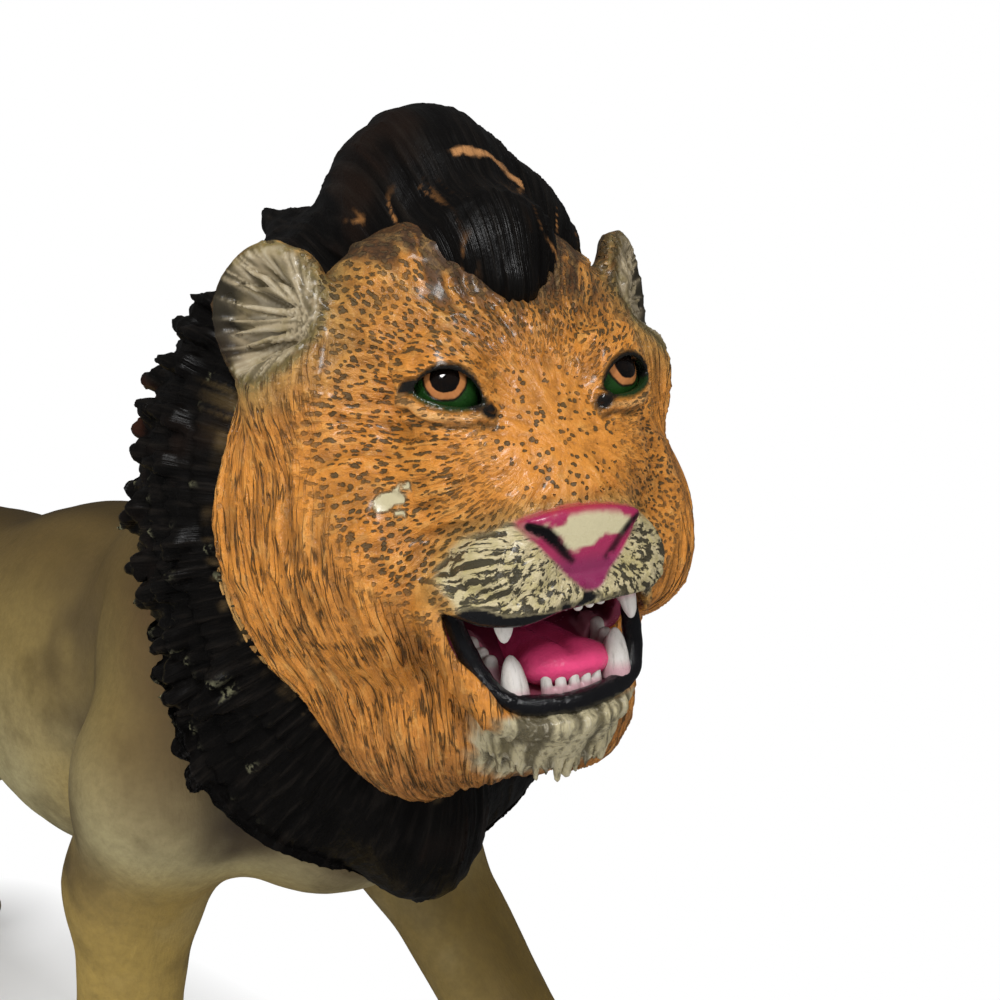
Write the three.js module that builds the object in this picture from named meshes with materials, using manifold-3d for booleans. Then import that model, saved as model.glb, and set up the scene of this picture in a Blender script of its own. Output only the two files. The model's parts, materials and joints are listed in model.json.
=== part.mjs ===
// Large hollow soft-vinyl figure of a roaring lion in a walking stance.
// Millimetres, +X towards the head, +Y to the lion's left, +Z up, paws standing on z = 0.
// Every moulding is a skin over muscle forms; hollows and seats are cut from the same forms at an offset.

import * as THREE from 'three';
import { mergeVertices } from 'three/addons/utils/BufferGeometryUtils.js';
import Module from 'manifold-3d';

const wasm = await Module();
wasm.setup();

// Overall sizes
const trunkLength = 200;       // chest to rump, the module of the body's forms
const headWidth = 100;         // over the mane, the module of the head's forms
const headTurnAngle = -27.85;  // degrees, head turned to the right
const headLiftAngle = -6.5;    // degrees, muzzle raised
const headRollAngle = 3.6;     // degrees, head tipped over
const neckLiftAngle = 12;      // degrees, neck ring tipped back against the head's own axis
const neckSwingAngle = 6;      // degrees, neck ring swung towards the body

// Walls and fits
const vinylWall = 3;
const seamGap = 0.3;           // between mouldings that are bonded or seated
const cornerTolerance = 0.0003;  // corners closer than this are one corner
const faceTolerance = 0.02;    // facets flatter than this are joined
const cutOverrun = 300;        // how far cutting blocks run past what they cut

// Neck ring
const neckRadius = 16;         // the stub that the mane's ring snaps over
const neckLip = 3;             // how far the flange stands proud of the stub
const neckFlangeLength = 5;
const neckBore = 11;           // filling hole, radius
const neckSeatShares = [-0.64, -0.05, -0.18];
const neckGrooveEnd = vinylWall + 2 * seamGap;

// Leg pegs
const pegRadius = 6;
const pegLength = 12;
const pegFit = 0.35;

// Tail plug
const tailPlugRadius = 4;
const tailPlugLip = 1.4;
const tailPlugLipLength = 3;
const tailRootSpare = 2.4;       // the seat in the rump is wider than the tail's root by this much

// Eyes and mouth
const eyeRadius = 5.2;
const lidThickness = 1.1;
const eyeOpeningWidth = 9.2;
const eyeOpeningHeight = 6.6;
const gazeAngle = 17;          // degrees, each eye faces outwards
const eyeSlantAngle = 14;      // degrees, inner corner lower
const mouthWidth = 24;
const mouthRounding = 2.6;
const tongueBreadth = 2;       // half width over half height
const lipRadius = 1.4;
const linerWall = 2.2;
const upperCanineLength = 4.6;
const lowerCanineLength = 5.8;
const canineRadius = 1.6;
const incisorLength = 2.2;
const incisorThickness = 1.5;
const premolarLength = 2.4;
const premolarThickness = 2;
const toothRoot = 1.2;
const toothFit = 0.3;

const degrees = Math.PI / 180;
const scaled = (shares, size) => shares.map((share) => share * size);
const mirrored = ([x, y, z]) => [x, -y, z];

// Forms: each is a distance function, below zero inside
function ellipsoid(center, radii) {
  return (p) => {
    const x = p[0] - center[0];
    const y = p[1] - center[1];
    const z = p[2] - center[2];
    const near = Math.hypot(x / radii[0], y / radii[1], z / radii[2]);
    const slope = Math.hypot(x / radii[0] ** 2, y / radii[1] ** 2, z / radii[2] ** 2);
    return slope === 0 ? -Math.min(...radii) : near * (near - 1) / slope;
  };
}

function slab(center, halves, rounding) {
  return (p) => {
    const beyond = p.map((value, i) => Math.abs(value - center[i]) - halves[i] + rounding);
    const outside = Math.hypot(...beyond.map((value) => Math.max(value, 0)));
    return outside + Math.min(Math.max(...beyond), 0) - rounding;
  };
}

function muscle(from, to, radiusFrom, radiusTo, breadth = 1) {
  const run = to.map((value, i) => value - from[i]);
  const length2 = run.reduce((sum, value) => sum + value * value, 0);
  return (p) => {
    const offset = p.map((value, i) => value - from[i]);
    const along = offset.reduce((sum, value, i) => sum + value * run[i], 0) / length2;
    const share = Math.min(1, Math.max(0, along));
    const away = offset.map((value, i) => value - share * run[i]);
    return Math.hypot(away[0], away[1] / breadth, away[2]) - radiusFrom - share * (radiusTo - radiusFrom);
  };
}

function blended(forms, softness) {
  return (p) => {
    let distance = Infinity;
    for (const form of forms) {
      const next = form(p);
      if (distance === Infinity) {
        distance = next;
      } else {
        const mix = Math.max(softness - Math.abs(distance - next), 0) / softness;
        distance = Math.min(distance, next) - mix * mix * softness / 4;
      }
    }
    return distance;
  };
}

const grown = (form, amount) => (p) => form(p) - amount;

// Skin: rings of rays from a spine out to the form's surface, closed by a point at each end
function skin(form, spine, rings, sides, reach, reference = new THREE.Vector3(0, 0, 1)) {
  const positions = [];
  const aside = new THREE.Vector3();
  const upward = new THREE.Vector3();
  for (const { share, tilt } of rings) {
    const center = spine.getPointAt(share);
    const tangent = spine.getTangentAt(share);
    aside.crossVectors(reference, tangent).normalize();
    upward.crossVectors(tangent, aside);
    const pole = tilt === 0 || tilt === 180;
    for (let side = 0; side < (pole ? 1 : sides); side++) {
      const turn = side / sides * 2 * Math.PI;
      const ray = tangent.clone().multiplyScalar(Math.cos(tilt * degrees))
        .addScaledVector(aside, Math.sin(tilt * degrees) * Math.sin(turn))
        .addScaledVector(upward, Math.sin(tilt * degrees) * Math.cos(turn));
      positions.push(...surfacePoint(form, center, ray, reach));
    }
  }
  return new THREE.BufferGeometry()
    .setAttribute('position', new THREE.Float32BufferAttribute(positions, 3))
    .setIndex(gridIndex(rings.length, sides));
}

function surfacePoint(form, center, ray, reach) {
  const at = (distance) => center.clone().addScaledVector(ray, distance).toArray();
  const steps = 110;
  let outside = reach;
  let inside = 0;
  for (let step = steps - 1; step >= 0; step--) {
    const distance = reach * step / steps;
    if (form(at(distance)) < 0) {
      inside = distance;
      break;
    }
    outside = distance;
  }
  for (let halving = 0; halving < 20; halving++) {
    const middle = (inside + outside) / 2;
    if (form(at(middle)) < 0) {
      inside = middle;
    } else {
      outside = middle;
    }
  }
  return at(inside);
}

function gridIndex(ringCount, sides) {
  const index = [];
  const vertex = (ring, side) => 1 + (ring - 1) * sides + side % sides;
  const last = 1 + (ringCount - 2) * sides;
  for (let side = 0; side < sides; side++) {
    index.push(0, vertex(1, side + 1), vertex(1, side));
    index.push(last, vertex(ringCount - 2, side), vertex(ringCount - 2, side + 1));
    for (let ring = 1; ring < ringCount - 2; ring++) {
      index.push(vertex(ring, side), vertex(ring, side + 1), vertex(ring + 1, side + 1));
      index.push(vertex(ring, side), vertex(ring + 1, side + 1), vertex(ring + 1, side));
    }
  }
  return index;
}

// Ring plans: an even run along the spine between two rounded ends
function spineRings(runs, cap) {
  const rings = [];
  for (let step = 0; step <= cap; step++) {
    rings.push({ share: 1, tilt: 90 * step / (cap + 1) });
  }
  for (let step = 0; step <= runs; step++) {
    rings.push({ share: 1 - step / runs, tilt: 90 });
  }
  for (let step = 1; step <= cap + 1; step++) {
    rings.push({ share: 0, tilt: 90 + 90 * step / (cap + 1) });
  }
  return rings;
}

const domeRings = (tilts) => tilts.map((tilt) => ({ share: 0, tilt }));

function line(from, to) {
  return new THREE.LineCurve3(new THREE.Vector3(...from), new THREE.Vector3(...to));
}

// Dome rings tilt about this line's start
function facing([x, y, z], length) {
  return line([x, y, z], [x + length, y, z]);
}

function route(points) {
  return new THREE.CatmullRomCurve3(points.map((point) => new THREE.Vector3(...point)), false, 'centripetal');
}

// Solids
function solidFrom(geometry) {
  let plain = geometry.clone();
  plain.deleteAttribute('normal');
  plain.deleteAttribute('uv');
  plain = mergeVertices(plain, cornerTolerance);
  const corners = plain.index.array;
  const triangles = [];
  for (let i = 0; i < corners.length; i += 3) {
    const [a, b, c] = [corners[i], corners[i + 1], corners[i + 2]];
    if (a !== b && b !== c && c !== a) {
      triangles.push(a, b, c);
    }
  }
  const vertices = plain.attributes.position.array;
  const build = (list) => new wasm.Manifold(new wasm.Mesh({
    numProp: 3, vertProperties: vertices, triVerts: Uint32Array.from(list),
  }));
  const solid = build(triangles);
  if (solid.volume() > 0) {
    return solid;
  }
  const turned = [];
  for (let i = 0; i < triangles.length; i += 3) {
    turned.push(triangles[i], triangles[i + 2], triangles[i + 1]);
  }
  return build(turned);
}

function geometryFrom(solid) {
  const mesh = solid.asOriginal().simplify(faceTolerance).getMesh();
  const geometry = new THREE.BufferGeometry();
  geometry.setAttribute('position', new THREE.BufferAttribute(mesh.vertProperties, 3));
  geometry.setIndex(new THREE.BufferAttribute(mesh.triVerts, 1));
  geometry.computeVertexNormals();
  return geometry;
}

const joined = (solids) => solids.reduce((sum, solid) => sum.add(solid));

// The moulding itself, without the offcuts that a cut leaves loose
function largest(solid) {
  return solid.decompose().reduce((best, next) => (next.volume() > best.volume() ? next : best));
}

// A turned profile along any axis: pairs of [distance along the axis, radius]
function turned(profile, base, axis, sides) {
  const points = profile.map(([along, radius]) => new THREE.Vector2(radius, along));
  const geometry = new THREE.LatheGeometry(points, sides);
  const swing = new THREE.Quaternion()
    .setFromUnitVectors(new THREE.Vector3(0, 1, 0), axis.clone().normalize());
  geometry.applyQuaternion(swing);
  geometry.translate(base.x, base.y, base.z);
  return solidFrom(geometry);
}

function rod(base, axis, radius, from, to, sides) {
  return turned([[from, 0], [from, radius], [to, radius], [to, 0]], base, axis, sides);
}

// A block that fills the half space behind a plane
function behindPlane(point, normal) {
  const geometry = new THREE.BoxGeometry(2 * cutOverrun, 2 * cutOverrun, cutOverrun);
  geometry.translate(0, 0, -cutOverrun / 2);
  geometry.applyQuaternion(new THREE.Quaternion().setFromUnitVectors(new THREE.Vector3(0, 0, 1), normal));
  geometry.translate(point.x, point.y, point.z);
  return solidFrom(geometry);
}

function ball(center, radii, across, down) {
  const geometry = new THREE.SphereGeometry(1, across, down);
  geometry.scale(...radii);
  geometry.translate(...center);
  return solidFrom(geometry);
}

// Where the head sits: the point between the eyes in the body's frame, then the neck ring in both frames
const headPlaceShares = [0.243, -0.129, 0.9085];
const headPlace = new THREE.Matrix4().compose(
  new THREE.Vector3(...scaled(headPlaceShares, trunkLength)),
  new THREE.Quaternion().setFromEuler(
    new THREE.Euler(headRollAngle * degrees, headLiftAngle * degrees, headTurnAngle * degrees, 'ZYX'),
  ),
  new THREE.Vector3(1, 1, 1),
);
const neckInHead = new THREE.Vector3(...scaled(neckSeatShares, headWidth));
const neckAxisInHead = new THREE.Vector3(
  Math.cos(neckLiftAngle * degrees) * Math.cos(neckSwingAngle * degrees),
  Math.cos(neckLiftAngle * degrees) * Math.sin(neckSwingAngle * degrees),
  Math.sin(neckLiftAngle * degrees),
);
const neckInBody = neckInHead.clone().applyMatrix4(headPlace);
const neckAxisInBody = neckAxisInHead.clone().transformDirection(headPlace);

// Torso: rib cage, belly, loin, rump, withers, breast and neck, as shares of the trunk's length
const trunkFormShares = [
  { from: [-0.15, 0, 0.585], to: [-0.475, 0, 0.555], radii: [0.18, 0.187], breadth: 0.75 },
  { from: [-0.475, 0, 0.555], to: [-0.78, 0, 0.56], radii: [0.185, 0.152], breadth: 0.75 },
  { from: [-0.78, 0, 0.57], to: [-0.93, 0, 0.575], radii: [0.138, 0.13], breadth: 0.85 },
  { from: [-0.93, 0, 0.6], to: [-1, 0, 0.55], radii: [0.105, 0.09], breadth: 0.95 },
  { from: [-0.1, 0, 0.7], to: [-0.34, 0, 0.675], radii: [0.065, 0.05], breadth: 1 },
  { from: [-0.1, 0, 0.56], to: [-0.02, 0, 0.59], radii: [0.13, 0.12], breadth: 0.9 },
];
const trunkBlendShare = 0.06;
const trunkReachShare = 0.5;
const limbBlendShare = 0.04;
const limbReachShare = 0.2;
const acrossBody = new THREE.Vector3(0, 1, 0);
const toeBlendShare = 0.01;
const neckFormShares = { from: [-0.2, 0, 0.66], radii: [0.165, 0.15] };
const neckEnd = neckInBody.toArray();
const trunkForms = trunkFormShares.map(({ from, to, radii, breadth }) => muscle(
  scaled(from, trunkLength), scaled(to, trunkLength), ...scaled(radii, trunkLength), breadth,
));
trunkForms.push(muscle(
  scaled(neckFormShares.from, trunkLength), neckEnd, ...scaled(neckFormShares.radii, trunkLength),
));
const trunkForm = blended(trunkForms, trunkBlendShare * trunkLength);
const trunkSpineShares = [
  [-0.96, 0, 0.59], [-0.75, 0, 0.575], [-0.5, 0, 0.58], [-0.25, 0, 0.61], [-0.1, 0, 0.69],
];
const trunkSpine = route([...trunkSpineShares.map((shares) => scaled(shares, trunkLength)), neckEnd]);
const trunkReach = trunkReachShare * trunkLength;
const limbReach = limbReachShare * trunkLength;

// Legs: joints from the shoulder or hip to the paw, with the radius there, as shares of the trunk's length
const legShares = {
  leg_front_right: {
    joints: [
      { at: [-0.16, -0.1, 0.63], radius: 0.085 }, { at: [-0.19, -0.12, 0.53], radius: 0.09 },
      { at: [-0.26, -0.125, 0.41], radius: 0.062 }, { at: [-0.285, -0.128, 0.22], radius: 0.046 },
      { at: [-0.275, -0.13, 0.07], radius: 0.047 },
    ],
    paw: [-0.225, -0.13, 0.04],
    peg: [-0.18, -0.15, 0.6],
  },
  leg_front_left: {
    joints: [
      { at: [-0.16, 0.1, 0.62], radius: 0.1 }, { at: [-0.15, 0.115, 0.53], radius: 0.095 },
      { at: [-0.12, 0.118, 0.41], radius: 0.06 }, { at: [0.06, 0.12, 0.2], radius: 0.047 },
      { at: [0.13, 0.12, 0.07], radius: 0.05 },
    ],
    paw: [0.17, 0.12, 0.04],
    peg: [-0.16, 0.15, 0.6],
  },
  leg_rear_right: {
    joints: [
      { at: [-0.9, -0.1, 0.59], radius: 0.1 }, { at: [-0.88, -0.115, 0.5], radius: 0.108 },
      { at: [-0.87, -0.115, 0.38], radius: 0.08 }, { at: [-1.03, -0.12, 0.2], radius: 0.045 },
      { at: [-1.02, -0.12, 0.06], radius: 0.048 },
    ],
    paw: [-0.97, -0.12, 0.04],
    peg: [-0.89, -0.14, 0.57],
  },
  leg_rear_left: {
    joints: [
      { at: [-0.92, 0.1, 0.59], radius: 0.1 }, { at: [-0.92, 0.115, 0.5], radius: 0.108 },
      { at: [-0.95, 0.105, 0.38], radius: 0.078 }, { at: [-1.17, 0.095, 0.23], radius: 0.045 },
      { at: [-1.2, 0.09, 0.06], radius: 0.048 },
    ],
    paw: [-1.17, 0.09, 0.04],
    peg: [-0.92, 0.14, 0.57],
  },
};
const pawRadiiShares = [0.09, 0.068, 0.058];
const toeSpreadShares = [-0.045, -0.016, 0.016, 0.045];
const toeReachShares = [0.055, 0.07, 0.07, 0.055];
const toeRadiiShares = [0.026, 0.02, 0.023];

function legSolid({ joints, paw }) {
  const bones = [];
  for (let i = 1; i < joints.length; i++) {
    bones.push(muscle(
      scaled(joints[i - 1].at, trunkLength), scaled(joints[i].at, trunkLength),
      joints[i - 1].radius * trunkLength, joints[i].radius * trunkLength,
    ));
  }
  const limb = blended(bones, limbBlendShare * trunkLength);
  const spine = route(joints.map(({ at }) => scaled(at, trunkLength)));
  const pawCenter = scaled(paw, trunkLength);
  const toes = toeSpreadShares.map((spread, i) => ellipsoid(
    [pawCenter[0] + toeReachShares[i] * trunkLength, pawCenter[1] + spread * trunkLength, pawCenter[2] / 2],
    scaled(toeRadiiShares, trunkLength),
  ));
  const pad = ellipsoid(pawCenter, scaled(pawRadiiShares, trunkLength));
  const pawForm = blended([pad, ...toes], toeBlendShare * trunkLength);
  const pawTilts = [0, 18, 32, 46, 62, 90, 125, 180];
  return solidFrom(skin(limb, spine, spineRings(10, 1), 12, limbReach, acrossBody))
    .add(solidFrom(skin(pawForm, facing(pawCenter, trunkLength), domeRings(pawTilts), 14, limbReach)));
}

const ground = behindPlane(new THREE.Vector3(0, 0, 0), new THREE.Vector3(0, 0, 1));
const beyondNeck = (back) => behindPlane(
  neckInBody.clone().addScaledVector(neckAxisInBody, -back), neckAxisInBody.clone().negate(),
);
const torsoSkin = (grow, runs, cap, sides) => solidFrom(
  skin(grown(trunkForm, grow), trunkSpine, spineRings(runs, cap), sides, trunkReach),
);
const torsoOuter = torsoSkin(0, 17, 2, 20);
const torsoSeat = torsoSkin(seamGap, 17, 2, 20);
const torsoHollow = torsoSkin(-vinylWall, 9, 1, 12).subtract(beyondNeck(vinylWall));

// Neck stub: a groove the mane's ring runs in, and a flange that holds it, bored for the filling
const neckStub = turned([
  [-vinylWall - neckLip, 0], [-vinylWall - neckLip, neckRadius], [neckGrooveEnd, neckRadius],
  [neckGrooveEnd, neckRadius + neckLip], [neckGrooveEnd + neckFlangeLength / 2, neckRadius + neckLip],
  [neckGrooveEnd + neckFlangeLength, neckRadius - neckLip], [neckGrooveEnd + neckFlangeLength, 0],
], neckInBody, neckAxisInBody, 24);
const neckHole = rod(neckInBody, neckAxisInBody, neckBore, -2 * vinylWall - neckLip, cutOverrun, 16);

const legs = {};
const pegSockets = [];
for (const [name, shares] of Object.entries(legShares)) {
  const side = Math.sign(shares.peg[1]);
  const inward = new THREE.Vector3(0, -side, 0);
  const pegBase = new THREE.Vector3(...scaled(shares.peg, trunkLength));
  const peg = rod(pegBase, inward, pegRadius, 0, pegLength, 12);
  pegSockets.push(rod(pegBase, inward, pegRadius + pegFit, -pegLength, pegLength + vinylWall, 12));
  legs[name] = largest(legSolid(shares).subtract(torsoSeat).add(peg).subtract(ground));
}

// Tail: a curved stem with a tuft, turned on a plug in the rump
const tailRouteShares = [
  [-1.03, 0, 0.645], [-1.1, 0, 0.605], [-1.19, -0.01, 0.52],
  [-1.24, -0.02, 0.4], [-1.265, -0.025, 0.28], [-1.3, -0.03, 0.17],
];
const tailRadiusShares = [0.033, 0.028, 0.023, 0.021, 0.036, 0.012];
const tailJoints = tailRouteShares.map((shares) => scaled(shares, trunkLength));
const tailForms = tailJoints.slice(1).map((joint, i) => muscle(
  tailJoints[i], joint, tailRadiusShares[i] * trunkLength, tailRadiusShares[i + 1] * trunkLength,
));
const tailBase = new THREE.Vector3(...tailJoints[0]);
const tailAxis = tailBase.clone().sub(new THREE.Vector3(...tailJoints[1])).normalize();
const tailBlendShare = 0.02;
const tailReachShare = 0.1;
const tailSeatRadius = tailRadiusShares[0] * trunkLength + tailRootSpare;
const tailBossRadius = tailSeatRadius + vinylWall;
const tailBossEnd = vinylWall + seamGap;
const tailPlugCatch = tailBossEnd + seamGap;
const tailPlugEnd = tailPlugCatch + tailPlugLipLength;
const tailPlug = turned([
  [-tailPlugRadius, 0], [-tailPlugRadius, tailPlugRadius], [tailPlugCatch, tailPlugRadius],
  [tailPlugCatch, tailPlugRadius + tailPlugLip], [tailPlugEnd, tailPlugRadius], [tailPlugEnd, 0],
], tailBase, tailAxis, 20);
const tailSeatBoss = rod(tailBase, tailAxis, tailBossRadius, -cutOverrun, tailBossEnd, 24);
const tailRecess = rod(tailBase, tailAxis, tailSeatRadius, -cutOverrun, seamGap, 24);
const tailPlugRoom = rod(
  tailBase, tailAxis, tailPlugRadius + tailPlugLip + seamGap, tailBossEnd, tailPlugEnd + seamGap, 20,
);
const tailForm = blended(tailForms, tailBlendShare * trunkLength);
const tailReach = tailReachShare * trunkLength;
const tail = largest(
  solidFrom(skin(tailForm, route(tailJoints), spineRings(12, 1), 10, tailReach, acrossBody))
    .intersect(behindPlane(tailBase, tailAxis))
    .add(tailPlug),
);

const torso = largest(torsoOuter
  .subtract(beyondNeck(seamGap))
  .subtract(torsoHollow)
  .add(neckStub.subtract(torsoHollow))
  .subtract(neckHole)
  .subtract(joined(pegSockets))
  .add(tailSeatBoss.intersect(torsoOuter))
  .subtract(tailRecess)
  .subtract(tailPlugRoom)
  .subtract(rod(tailBase, tailAxis, tailPlugRadius + seamGap, -vinylWall, tailPlugEnd + vinylWall, 20)));

// Stuffing: the hollow less a gap, drawn in round the pegs and the tail plug
const fibreFill = largest(torsoSkin(-vinylWall - 2 * seamGap - pegLength / 2, 9, 1, 12)
  .subtract(beyondNeck(2 * vinylWall + neckLip))
  .subtract(joined(pegSockets))
  .subtract(rod(tailBase, tailAxis, tailBossRadius + seamGap, -cutOverrun, tailPlugEnd + vinylWall, 24)));

// Head: face and mane forms, as shares of the head's width, with the point between the eyes at the origin
const faceFormShares = [
  { at: [-0.35, 0, -0.17], radii: [0.27, 0.355, 0.4] },
  { at: [-0.25, 0, 0.05], radii: [0.2, 0.25, 0.235] },
  { at: [-0.24, 0.15, -0.22], radii: [0.2, 0.18, 0.21] },
  { at: [-0.13, 0, -0.25], radii: [0.17, 0.15, 0.13] },
  { at: [-0.005, 0.085, -0.245], radii: [0.085, 0.085, 0.07] },
  { at: [-0.09, 0, -0.46], radii: [0.105, 0.1, 0.075] },
  { at: [-0.2, 0.05, -0.45], radii: [0.14, 0.12, 0.13] },
  { at: [-0.28, 0.12, -0.47], radii: [0.13, 0.12, 0.14] },
  { at: [-0.29, 0.24, 0.06], radii: [0.08, 0.1, 0.09] },
  { at: [-0.245, 0.225, 0.01], radii: [0.09, 0.115, 0.12] },
  { at: [-0.06, 0.09, -0.12], radii: [0.09, 0.09, 0.09] },
  { at: [-0.38, 0, -0.19], radii: [0.2, 0.395, 0.38] },
  { at: [-0.3, 0.13, -0.42], radii: [0.12, 0.14, 0.16] },
];
const noseFormShares = [
  { from: [-0.1, -0.04, 0.01], to: [0.045, -0.045, -0.16], radii: [0.07, 0.048] },
  { from: [-0.1, 0.04, 0.01], to: [0.045, 0.045, -0.16], radii: [0.07, 0.048] },
  { from: [0.06, 0, -0.21], to: [0.045, 0, -0.255], radii: [0.048, 0.03] },
];
const eyeShares = [-0.026, 0.122, -0.005];
const nosePadShares = { at: [0.078, 0, -0.2], halves: [0.038, 0.087, 0.028], rounding: 0.022 };
const faceBlendShare = 0.04;
const faceForms = faceFormShares.flatMap(({ at, radii }) => {
  const center = scaled(at, headWidth);
  const form = ellipsoid(center, scaled(radii, headWidth));
  return at[1] === 0 ? [form] : [form, ellipsoid(mirrored(center), scaled(radii, headWidth))];
});
faceForms.push(...noseFormShares.map(({ from, to, radii }) => muscle(
  scaled(from, headWidth), scaled(to, headWidth), ...scaled(radii, headWidth),
)));
for (const at of [eyeShares, mirrored(eyeShares)]) {
  faceForms.push(ellipsoid(scaled(at, headWidth), [eyeRadius, eyeRadius, eyeRadius]));
}
faceForms.push(slab(
  scaled(nosePadShares.at, headWidth), scaled(nosePadShares.halves, headWidth),
  nosePadShares.rounding * headWidth,
));
const faceForm = blended(faceForms, faceBlendShare * headWidth);
const faceCenterShares = [-0.4, 0, -0.2];
const headReachShare = 0.9;
const faceCenter = scaled(faceCenterShares, headWidth);
const faceLine = facing(faceCenter, headWidth);
const headReach = headReachShare * headWidth;
const faceTilts = [
  0, 4, 8, 11, 14, 17, 20, 24, 28, 32, 36, 40, 45, 50, 55, 60, 65, 70, 76, 83, 92, 104, 130, 180,
];
const innerTilts = [0, 15, 30, 45, 60, 75, 90, 110, 135, 180];

const maneFormShares = [
  { at: [-0.56, -0.05, -0.195], radii: [0.32, 0.43, 0.525] },
  { at: [-0.6, -0.1, -0.46], radii: [0.24, 0.37, 0.345] },
  { at: [-0.4, 0, 0.235], radii: [0.24, 0.175, 0.24] },
  { at: [-0.36, 0.1, 0.2], radii: [0.18, 0.14, 0.17] },
  { at: [-0.47, -0.1, -0.64], radii: [0.19, 0.12, 0.185] },
];
const maneBlendShare = 0.05;
const forelockShares = [
  { from: [-0.32, 0, 0.25], to: [-0.15, 0.01, 0.18], radii: [0.12, 0.095] },
  { from: [-0.15, 0.01, 0.18], to: [-0.07, 0.01, 0.13], radii: [0.095, 0.03] },
];
const maneForm = blended([
  ...maneFormShares.map(({ at, radii }) => ellipsoid(scaled(at, headWidth), scaled(radii, headWidth))),
  ...forelockShares.map(({ from, to, radii }) => muscle(
    scaled(from, headWidth), scaled(to, headWidth), ...scaled(radii, headWidth),
  )),
], maneBlendShare * headWidth);
const maneTilts = [
  0, 25, 40, 50, 57, 63, 69, 75, 81, 87, 93, 99, 105, 111, 117, 124, 132, 150, 180,
];

// Locks: staggered rows of pointed clumps, standing proud of the mane's skin
const lockCount = 32;
const lockRows = 4.5;
const lockHeight = 2;
const lockStartShare = -0.2;
const lockSpanShare = 0.5;
function lockRelief(p) {
  const round = Math.atan2(p[1] - faceCenter[1], p[2] - faceCenter[2]) / (2 * Math.PI) * lockCount;
  const back = (lockStartShare - p[0] / headWidth) / lockSpanShare * lockRows;
  const row = Math.floor(back);
  const within = round + row / 2 - Math.floor(round + row / 2);
  return lockHeight * (1 - Math.abs(2 * within - 1)) * (back - row);
}
const lockedMane = (p) => maneForm(p) - lockRelief(p);

const headSkin = (form, tilts, sides) => solidFrom(skin(form, faceLine, domeRings(tilts), sides, headReach));
const neckPlane = behindPlane(neckInHead, neckAxisInHead);
const neckWall = behindPlane(neckInHead.clone().addScaledVector(neckAxisInHead, vinylWall), neckAxisInHead);
const faceRearShare = -0.48;
const faceRear = behindPlane(new THREE.Vector3(faceRearShare * headWidth, 0, 0), new THREE.Vector3(1, 0, 0));

const faceSolid = headSkin(faceForm, faceTilts, 36);
const faceSeat = headSkin(grown(faceForm, seamGap), faceTilts, 36);
const faceHollow = headSkin(grown(faceForm, -vinylWall), innerTilts, 14);

// Ears: cups turned outwards, standing on the face and let into the mane
const earShares = [-0.26, 0.285, 0.14];
const earRadiiShares = [0.045, 0.09, 0.105];
const earCupShares = [0.035, 0, 0.008];
const earCupRadiiShares = [0.045, 0.066, 0.08];
const earTurnAngle = 50;
function earBall(side, offsetShares, radii) {
  const geometry = new THREE.SphereGeometry(1, 12, 8);
  geometry.scale(...radii);
  geometry.translate(...scaled(offsetShares, headWidth));
  geometry.rotateZ(side * earTurnAngle * degrees);
  const center = scaled(earShares, headWidth);
  geometry.translate(center[0], side * center[1], center[2]);
  return solidFrom(geometry);
}
const earSides = [-1, 1];
const earOuter = (side, spare) => earBall(
  side, [0, 0, 0], earRadiiShares.map((share) => share * headWidth + spare),
);
const earCup = (side) => earBall(side, earCupShares, scaled(earCupRadiiShares, headWidth));

// Mouth: a wedge between a level roof and a falling floor, closed at the throat
const mouthRoofShares = [[-0.2, -0.288], [0.1, -0.308]];
const mouthFloorShares = [[-0.2, -0.315], [0.06, -0.448]];
const mouthEndShares = [-0.2, 0.16];
const mouthForm = (p) => {
  const level = ([[x0, z0], [x1, z1]]) => (z0 + (p[0] / headWidth - x0) * (z1 - z0) / (x1 - x0)) * headWidth;
  const bounds = [
    p[2] - level(mouthRoofShares), level(mouthFloorShares) - p[2], Math.abs(p[1]) - mouthWidth / 2,
    mouthEndShares[0] * headWidth - p[0], p[0] - mouthEndShares[1] * headWidth,
  ];
  return -blended(bounds.map((bound) => () => -bound), mouthRounding)(p);
};
const mouthLineShares = [[-0.15, 0, -0.318], [0.12, 0, -0.38]];
const mouthLine = line(...mouthLineShares.map((shares) => scaled(shares, headWidth)));
const mouthSides = 20;
const mouthReachShare = 0.4;
const mouthReach = mouthReachShare * headWidth;
const mouthSkin = (amount) => solidFrom(
  skin(grown(mouthForm, amount), mouthLine, spineRings(4, 1), mouthSides, mouthReach),
);
const mouthOpen = mouthSkin(0);

// Lip bead: a ring where the mouth's wall meets the face's skin
function lipPath() {
  const tangent = mouthLine.getTangentAt(0);
  const aside = new THREE.Vector3().crossVectors(new THREE.Vector3(0, 0, 1), tangent).normalize();
  const upward = new THREE.Vector3().crossVectors(tangent, aside);
  const points = [];
  for (let side = 0; side < mouthSides; side++) {
    const turn = side / mouthSides * 2 * Math.PI;
    const ray = aside.clone().multiplyScalar(Math.sin(turn)).addScaledVector(upward, Math.cos(turn));
    let inside = 0;
    let outside = 1;
    for (let halving = 0; halving < 16; halving++) {
      const middle = (inside + outside) / 2;
      if (faceForm(surfacePoint(mouthForm, mouthLine.getPointAt(middle), ray, mouthReach)) < 0) {
        inside = middle;
      } else {
        outside = middle;
      }
    }
    points.push(new THREE.Vector3(...surfacePoint(mouthForm, mouthLine.getPointAt(inside), ray, mouthReach)));
  }
  return new THREE.CatmullRomCurve3(points, true, 'centripetal');
}
const lipCurve = lipPath();
const lipBead = (spare) => solidFrom(new THREE.TubeGeometry(lipCurve, 26, lipRadius + spare, 6, true));

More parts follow.
